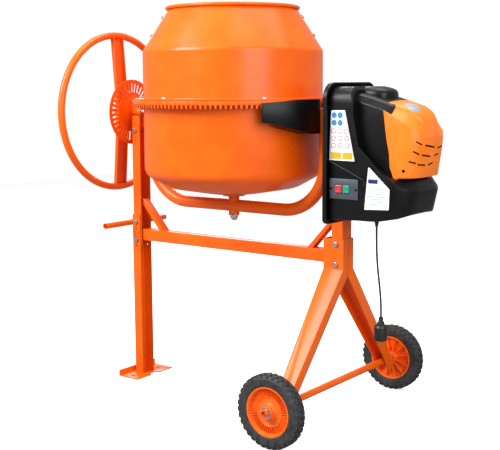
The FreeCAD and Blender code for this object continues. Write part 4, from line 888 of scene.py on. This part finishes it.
def makeCap(sizes):
    # the orange end cap, with its slanted border, crease and rounded nose
    rings = []
    for step in range(19):
        if step <= 8:
            share = step / 8
            x, half = 676 + (sizes["roundStart"] - 676) * share, sizes["half"]
        else:
            share = 1.0
            turn = math.radians(90 * (step - 8) / 10)
            x = sizes["roundStart"] + sizes["round"] * math.sin(turn)
            half = sizes["half"] - sizes["round"] * (1 - math.cos(turn))
        foot = follow(((676, 838), (712, 846), (796, sizes["noseFoot"])), x)
        crease = follow(creaseLine, x)
        top = follow(topLine, x)
        low = [(x, -half + 6, foot), (x, -half + 1.5, foot + 1.5), (x, -half, foot + 6)]
        walls = [(x, -half, foot + (crease - foot) * k / 5) for k in range(1, 5)]
        lean = 0.16 + 0.3 * max(0.0, (x - 676) / 120)
        row = [(x, 0, foot)] + low + walls + roofRow(x, half, crease, top, lean, 0.6)
        onNose = max(0.0, (x - sizes["roundStart"]) / sizes["round"])
        moved = []
        for px, py, pz in row:
            px -= sizes["noseTaper"] * onNose * max(0.0, (sizes["taperFrom"] - pz) / 102)
            if step <= 8:
                border = follow(sizes["borders"], pz)
                px = border + (sizes["roundStart"] - border) * share
            moved.append((px, py, pz))
        other = [(px, -py, pz) for px, py, pz in reversed(moved[1:-1])]
        rings.append([place(*point) for point in moved + other])
    cap = roundEdges(loft("cap_shell", rings, finishes["orange_plastic"]), 1.6, 2, 14)
    return cap


cap = makeCap(capSizes)

ventSizes = {
    # each slot's first and last point on the skin; the rows sag a little towards the middle
    "slots": (((778, -87, 962), (790, -70, 952)), ((795, -58, 950), (796, 5, 941)),
              ((796, 27, 938), (793, 62, 943)), ((790, 70, 952), (778, 87, 962)),
              ((772, -93, 932), (786, -77, 922)), ((792, -66, 920), (796, -14, 913)),
              ((796, 14, 914), (796, 38, 919)), ((786, 77, 922), (772, 93, 932)),
              ((760, -100, 901), (779, -86, 895)), ((786, -78, 891), (796, -41, 887)),
              ((796, -20, 886), (796, 11, 892)), ((779, 86, 895), (760, 100, 901))),
    "tall": 5.0, "deep": 16, "over": 12, "hole": (745, -104, 871), "holeRadius": 5}


def cutCap(sizes):
    # slots and the screw hole are sunk into the cap; their cut walls are black, as painted shade for
    # the dark inside
    cutters = []
    for first, last in sizes["slots"]:
        start, end = place(*first), place(*last)
        along = (end - start).normalized()
        out = along.cross(Vector((0, 0, 1))).normalized()
        tall = Vector((0, 0, sizes["tall"] / 2000))
        rings = []
        for spot in (start, end):
            inner, outer = spot - out * sizes["deep"] / 1000, spot + out * sizes["over"] / 1000
            rings.append([inner - tall, outer - tall, outer + tall, inner + tall])
        cutters.append(loft("slot", rings, finishes["black_plastic"]))
    radius = sizes["holeRadius"]
    cutters.append(lathe("hole", [(0.01, -8), (radius, -8), (radius, 9), (0.01, 9)],
                         finishes["black_plastic"], place(*sizes["hole"]), "Y", 24))
    cutter = join("cap_cutter_painted_shade", cutters)
    cutting = cap.modifiers.new("slots", "BOOLEAN")
    cutting.operation = "DIFFERENCE"
    cutting.solver = "EXACT"
    cutting.use_self = True
    # the cut walls take the cutters' black finish: painted shade inside the slots and the screw hole
    cutting.material_mode = "TRANSFER"
    cutting.object = cutter
    bake(cap)
    bpy.data.objects.remove(cutter)
    softShade(cap, 30)


badgeSizes = {"corners": ((711, -45), (747, -70), (768, -35), (730, -5)), "proud": 1.0, "steps": 6}


def makeBadge(sizes):
    # a blank grey plate that follows the top of the cap
    corners = [Vector((x, y, 0)) for x, y in sizes["corners"]]
    steps = sizes["steps"]
    layers = []
    for lift in (sizes["proud"], -1.0):
        layer = []
        for row in range(steps + 1):
            for column in range(steps + 1):
                u, v = column / steps, row / steps
                spot = corners[0].lerp(corners[1], u).lerp(corners[3].lerp(corners[2], u), v)
                hit = cap.ray_cast(place(spot.x, spot.y, 1300), Vector((0, 0, -1)))
                layer.append(hit[1] + Vector((0, 0, lift / 1000)))
        layers.append(layer)
    wide = steps + 1
    total = wide * wide
    faces = []
    for row in range(steps):
        for column in range(steps):
            a = row * wide + column
            faces.append((a, a + 1, a + wide + 1, a + wide))
            faces.append((a + total, a + total + wide, a + total + wide + 1, a + total + 1))
    border = ([k for k in range(wide)] + [k * wide + steps for k in range(1, wide)]
              + [steps * wide + k for k in range(steps - 1, -1, -1)]
              + [k * wide for k in range(steps - 1, 0, -1)])
    for index, a in enumerate(border):
        b = border[(index + 1) % len(border)]
        faces.append((a, a + total, b + total, b))
    badge = fromPoints("cap_badge", layers[0] + layers[1], faces, greyVinyl)
    adopt(roundEdges(badge, 0.4, 1, 40), "frame")


makeBadge(badgeSizes)
cutCap(ventSizes)
adopt(cap, "frame", ("motor_cap",))
print("housing ready")


# wheels

wheelSizes = {"tyre": 121.5, "inner": 81, "treadDepth": 4.2, "blocks": 34,
              "blockLong": 14.5, "blockWide": 13, "fins": 48, "webs": 12}


def wheelCentre(side):
    low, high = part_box(side + "_tyre")
    return (low + high) / 2


def flipOutward(piece, side, centre):
    # a wheel is made with its outer face towards +Y, and the front one is turned round
    if side == "front":
        turn = Matrix.Rotation(math.pi, 4, "Z")
        piece.data.transform(Matrix.Translation(centre) @ turn @ Matrix.Translation(-centre))
    return piece


def makeTyre(side, sizes):
    centre = wheelCentre(side)
    body = side + "_wheel"
    rubber = finishes["tyre_rubber"]
    low = sizes["tyre"] - sizes["treadDepth"]
    outline = soften([(sizes["inner"], -18, 0), (sizes["inner"] + 3, -20.5, 2),
                      (93, -21.9, 6), (106, -21.9, 6), (114, -18.5, 5), (low, -15, 3),
                      (low, 15, 3), (114, 18.5, 5), (106, 21.9, 6), (93, 21.9, 6),
                      (sizes["inner"] + 3, 20.5, 2), (sizes["inner"], 18, 0)])
    casing = lathe("casing", outline, rubber, centre, "Y", 120)
    wide = (sizes["treadDepth"] * 2, sizes["blockLong"], sizes["blockWide"])
    reach = sizes["tyre"] - sizes["treadDepth"] - 0.25
    rows = []
    for row, level in enumerate((-8.2, 8.2)):
        rows.append(spunBlocks("tread", rubber, centre, "Y", 0.9, Copies=sizes["blocks"],
                               Radius=reach, Level=level, Block=wide,
                               **{"First Angle": 180.0 / sizes["blocks"] * row}))
    for level in (-17.3, 17.3):
        rows.append(spunBlocks("shoulder", rubber, centre, "Y", 0.8,
                               Copies=sizes["blocks"], Radius=112.6, Level=level,
                               Block=(9, 8.5, 6.5)))
    tyre = softShade(join(side + "_tyre_tread", [casing] + rows), 34)
    adopt(tyre, body, (side + "_tyre",))


def makeRim(side, sizes):
    # the wheel centre: outer lip, a ring of fine fins and a plain boss on the outer face
    centre = wheelCentre(side)
    body = side + "_wheel"
    plastic = finishes["wheel_plastic"]
    outline = soften([(12.7, 24, 0), (21, 24, 1.5), (23, 16, 2), (30, 9, 3), (44, 7.5, 2),
                      (47, 10.5, 1), (49, 10.5, 0.8), (50, 5.5, 1), (69, 5.5, 2),
                      (72, 11, 1.5), (75, 16.5, 1.5), (76, 19.4, 0.8), (81, 20.2, 1.0),
                      (81.2, 18, 0), (81.2, -18, 0), (80, -19.6, 0.8), (74.5, -19, 1.5),
                      (72, -4, 2), (25, -3, 2), (22, -24, 1), (12.7, -24, 0)], 4)
    disc = lathe("disc", outline, plastic, centre, "Y", 120)
    fins = spunBlocks("fins", plastic, centre, "Y", 0.4, Copies=sizes["fins"], Radius=60,
                      Level=8, Block=(21, 1.9, 7.5))
    webs = spunBlocks("webs", plastic, centre, "Y", 0.6, Copies=sizes["webs"], Radius=48.5,
                      Level=-10.5, Block=(52, 3.2, 16))
    made = [flipOutward(piece, side, centre) for piece in (disc, fins, webs)]
    rim = softShade(join(side + "_wheel_centre", made), 34)
    adopt(rim, body, (side + "_wheel_rim",))


def makeSplitPin(side, sizes):
    # a split pin through the axle end, leaning, with an eye and two spread legs
    centre = wheelCentre(side)
    outward = -1 if side == "front" else 1
    spot = Vector((centre.x, outward * 0.423, centre.z))
    curve = bpy.data.curves.new(side + "_pin", "CURVE")
    curve.dimensions = "3D"
    route = ((-1.6, -19), (-1.2, -14), (-0.9, 0), (-0.9, 11), (-3.4, 15), (0, 19), (3.4, 15),
             (0.9, 11), (0.9, 0), (1.2, -14), (3.6, -18))
    spline = curve.splines.new("NURBS")
    spline.points.add(len(route) - 1)
    for point, (across, up) in zip(spline.points, route):
        point.co = (across / 1000, 0, up / 1000, 1)
    spline.order_u = 3
    spline.use_endpoint_u = True
    curve.bevel_depth = 0.0011
    curve.bevel_resolution = 4
    curve.use_fill_caps = True
    pin = bpy.data.objects.new(side + "_split_pin", curve)
    bpy.context.scene.collection.objects.link(pin)
    mesh = bpy.data.meshes.new_from_object(pin.evaluated_get(
        bpy.context.evaluated_depsgraph_get()))
    bpy.data.objects.remove(pin)
    pin = newObject(side + "_split_pin", mesh, finishes["zinc_plated_steel"])
    mesh.transform(Matrix.Translation(spot) @ Matrix.Rotation(math.radians(25), 4, "Y"))
    mesh.shade_smooth()
    adopt(pin, "frame", ("axle_pins",))


for side in ("front", "rear"):
    makeTyre(side, wheelSizes)
    makeRim(side, wheelSizes)
    makeSplitPin(side, wheelSizes)
print("wheels ready")


# hand wheel

def makeHandWheelRim():
    low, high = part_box("handwheel_rim")
    tube = (high.x - low.x) / 2
    reach = (high.z - low.z) / 2 - tube
    centre = (low + high) / 2
    outline = [((reach + tube * math.cos(2 * math.pi * k / 28)) * 1000,
                tube * math.sin(2 * math.pi * k / 28) * 1000) for k in range(28)]
    rim = lathe("handwheel_hoop", outline, finishes["orange_powder_coat"], centre, "X", 160)
    adopt(rim, "handwheel", ("handwheel_rim",))


makeHandWheelRim()


# switch, labels and small details of the housing

switchSizes = {"z": 807.5, "face": -142, "stop": 535,
               "start": 563, "button": 24, "proud": 5}


def makeButtons(sizes):
    # square push buttons with a soft dish on each
    for name, x, slot in (("stop_button", sizes["stop"], "red_plastic"),
                          ("start_button", sizes["start"], "green_plastic")):
        half = sizes["button"] / 2
        front = sizes["face"] - sizes["proud"]
        rings = []
        for inset, depth in ((0, front + 17), (0, front + 1.4), (0.5, front + 0.4),
                             (1.6, front), (3.2, front + 0.5), (7, front + 1.1)):
            ring = []
            for across, up in soften([(x - half + inset, sizes["z"] - half + inset, 1.6),
                                      (x + half - inset, sizes["z"] - half + inset, 1.6),
                                      (x + half - inset, sizes["z"] + half - inset, 1.6),
                                      (x - half + inset, sizes["z"] + half - inset, 1.6)], 3):
                ring.append(place(across, depth, up))
            rings.append(ring)
        key = softShade(loft(name + "_key", rings, finishes[slot]), 50)
        adopt(key, name, (name,))


def rectangle(x, z, halfX, halfZ, radius=1.0):
    return soften([(x - halfX, z - halfZ, radius), (x + halfX, z - halfZ, radius),
                   (x + halfX, z + halfZ, radius), (x - halfX, z + halfZ, radius)], 3)


def discOutline(x, z, radius, count=20):
    return [(x + radius * math.cos(2 * math.pi * k / count),
             z + radius * math.sin(2 * math.pi * k / count)) for k in range(count)]


labelSizes = {"face": -139.0, "thick": 0.5, "print": 0.25}


def printed(name, outlines, material, sizes):
    # flat shapes printed on a label, standing a hair proud of it
    low = sizes["face"] - sizes["thick"] - sizes["print"]
    pieces = [prism("shape", outline, low, sizes["face"] - sizes["thick"] + 0.1, material)
              for outline in outlines]
    adopt(softShade(join(name, pieces)), "frame")


def makeLabels(sizes):
    # two plain stickers with blocks of colour and no wording or signs
    low, high = sizes["face"] - sizes["thick"], sizes["face"] + 0.2
    upper = prism("side_label_upper", soften([(503, 1056, 2), (554, 1057, 2), (591, 897, 2),
                                              (497, 898, 2)], 3), low, high, whiteVinyl)
    adopt(softShade(upper), "frame")
    lower = prism("side_label_lower", soften([(641, 883, 3), (717, 815, 3), (715, 751, 2),
                                              (628, 747, 2)], 3), low, high, whiteVinyl)
    adopt(softShade(lower), "frame")
    printed("label_discs", [discOutline(515 + column * 22, 1041 - row * 24, 9.3)
                            for row in range(2) for column in range(2)], blueVinyl, sizes)
    dots = []
    for row in range(3):
        for column in range(3):
            x, z = 513 + column * (23 + row), 991 - row * 23
            dots.append(discOutline(x, z, 8.5))
    printed("label_rings", dots, roseVinyl, sizes)
    inner = dict(sizes)
    inner["print"] = sizes["print"] + 0.15
    centres = [discOutline(sum(x for x, z in dot) / len(dot), sum(z for x, z in dot) / len(dot),
                           6.0) for dot in dots]
    printed("label_ring_centres", centres, whiteVinyl, inner)
    printed("label_bars", [rectangle(522, 913, 19, 10.5), rectangle(565, 913, 19, 10.5)],
            amberVinyl, sizes)
    printed("label_block", [rectangle(658, 837, 17, 6.5)], navyVinyl, sizes)
    lines = [rectangle(671, 814 - row * 8, 33 - (row % 3) * 5, 0.9, 0.4) for row in range(7)]
    printed("label_lines", lines, greyVinyl, sizes)


def makeRaisedRib():
    # a thin moulded line on the side wall, from the back plate down past the switch; it is drawn in
    # grey plastic as a painted highlight where the black moulding catches the light
    route = ((497, 895), (560, 868), (620, 841), (625, 836), (626, 822))
    rings = []
    for x, z in route:
        rings.append([place(x + 0.6, -138.5, z - 1.3), place(x + 0.6, -139.6, z - 0.9),
                      place(x - 0.2, -139.9, z), place(x - 0.6, -139.6, z + 0.9),
                      place(x - 0.6, -138.5, z + 1.3)])
    rib = softShade(loft("housing_rib_painted_highlight", rings, greyAbsAndRibHighlight), 50)
    adopt(rib, "frame")


makeButtons(switchSizes)
makeLabels(labelSizes)
polish("housing_screws", 0.5, 2, finishes["black_plastic"])
makeRaisedRib()
polish("switch_housing", 0.8, 2, greyAbsAndRibHighlight)
print("switch and labels ready")


# every other part gets its own finish, and those listed with an edge width get their edges rounded

edgeWidths = {"left_post": 1.2, "right_post": 1.2, "support_leg": 1.2, "crossbar": 2.0,
              "front_wheel_leg": 1.4, "rear_wheel_leg": 1.4, "foot_plate": 1.2,
              "left_brace": 1.0, "right_brace": 1.0, "pinion_guard": 1.6,
              "handwheel_spokes": 1.2, "handwheel_hub": 1.2, "housing_back_plate": 1.4,
              "tilt_lock_disc": 0.6, "frame_bolts": 0.7, "drum_bolts": 0.7,
              "axle_washers": 0.4, "left_bearing_sleeve": 0.8, "right_bearing_sleeve": 0.8,
              "spindle_nut": 0.8, "hub_flange": 0.8, "transport_handle": 0.8,
              "axle_tube": 0.6, "yoke_tube": 0.6, "mixing_paddle_1": 0.8,
              "mixing_paddle_2": 0.8, "left_trunnion": 0.8, "drum_spindle": 0.8,
              "drive_pinion": 0.4}

for node, piece in frame["nodes"].items():
    if node in shown:
        continue
    if node in edgeWidths:
        polish(node, edgeWidths[node])
    else:
        piece.data.materials.clear()
        piece.data.materials.append(finishes[slotOf[node]])
print("stand and inner parts ready")


# floor, light and surroundings

studioSizes = {"floor": 14.0, "bounceTone": "#8C8886", "sky": 0.42}


def makeFloor(sizes):
    half = sizes["floor"] / 2
    mesh = bpy.data.meshes.new("floor")
    mesh.from_pydata([(-half, -half, 0), (half, -half, 0), (half, half, 0), (-half, half, 0)],
                     [], [(0, 1, 2, 3)])
    # matt studio paper: pale, with the faintest unevenness
    made, tree, shader, spot = startFinish("studio_paper", "#F8F8F8", IOR=1.3, Roughness=0.9,
                                           Specular_IOR_Level=0.0, Emission_Strength=0.5,
                                           Emission_Color=(1, 1, 1, 1))
    mottle(tree, spot, shader, 900, ("#F6F6F6", "#FAFAFA"))
    # only a little of its light is thrown back up, as over a wide sheet of paper
    dull = addNode(tree, "ShaderNodeBsdfDiffuse", {"Color": linear(sizes["bounceTone"])})
    path = addNode(tree, "ShaderNodeLightPath")
    both = addNode(tree, "ShaderNodeMixShader", {"Fac": path.outputs["Is Camera Ray"],
                                                 1: dull.outputs[0], 2: shader.outputs[0]})
    for node in tree.nodes:
        if node.bl_idname == "ShaderNodeOutputMaterial":
            tree.links.new(both.outputs[0], node.inputs["Surface"])
    floor = newObject("floor", mesh, made)


def makeLamp(name, spot, aim, width, height, power, tone="#FFFFFF"):
    data = bpy.data.lights.new(name, "AREA")
    data.shape = "RECTANGLE"
    data.size = width
    data.size_y = height
    data.energy = power
    data.color = linear(tone)[:3]
    lamp = bpy.data.objects.new(name, data)
    bpy.context.scene.collection.objects.link(lamp)
    direction = Vector(aim) - Vector(spot)
    lamp.matrix_world = (Matrix.Translation(spot)
                         @ direction.to_track_quat("-Z", "Y").to_matrix().to_4x4())


def makeSurroundings(sizes):
    # white to the camera, softer grey to the object, so that glossy edges keep their shape
    world = bpy.data.worlds.new("studio")
    bpy.context.scene.world = world
    world.use_nodes = True
    tree = world.node_tree
    tree.nodes.clear()
    seen = addNode(tree, "ShaderNodeBackground", {"Color": (1, 1, 1, 1), "Strength": 1.05})
    lit = addNode(tree, "ShaderNodeBackground", {"Color": (1, 1, 1, 1),
                                                 "Strength": sizes["sky"]})
    path = addNode(tree, "ShaderNodeLightPath")
    both = addNode(tree, "ShaderNodeMixShader", {"Fac": path.outputs["Is Camera Ray"],
                                                 1: lit.outputs[0], 2: seen.outputs[0]})
    addNode(tree, "ShaderNodeOutputWorld", {"Surface": both.outputs[0]})


makeFloor(studioSizes)
makeSurroundings(studioSizes)
makeLamp("key", (-1.6, -3.2, 3.4), (0, 0, 0.8), 2.2, 2.2, 260)
makeLamp("fill", (3.4, -1.6, 2.2), (0, 0, 0.7), 2.4, 2.4, 95)
makeLamp("top", (0.2, 0.6, 4.2), (0, 0, 0.6), 3.0, 3.0, 120)
makeLamp("back", (-2.6, 2.8, 2.4), (0, 0, 0.8), 2.0, 2.0, 60)
bpy.context.scene.view_settings.view_transform = "Standard"
print("studio ready")
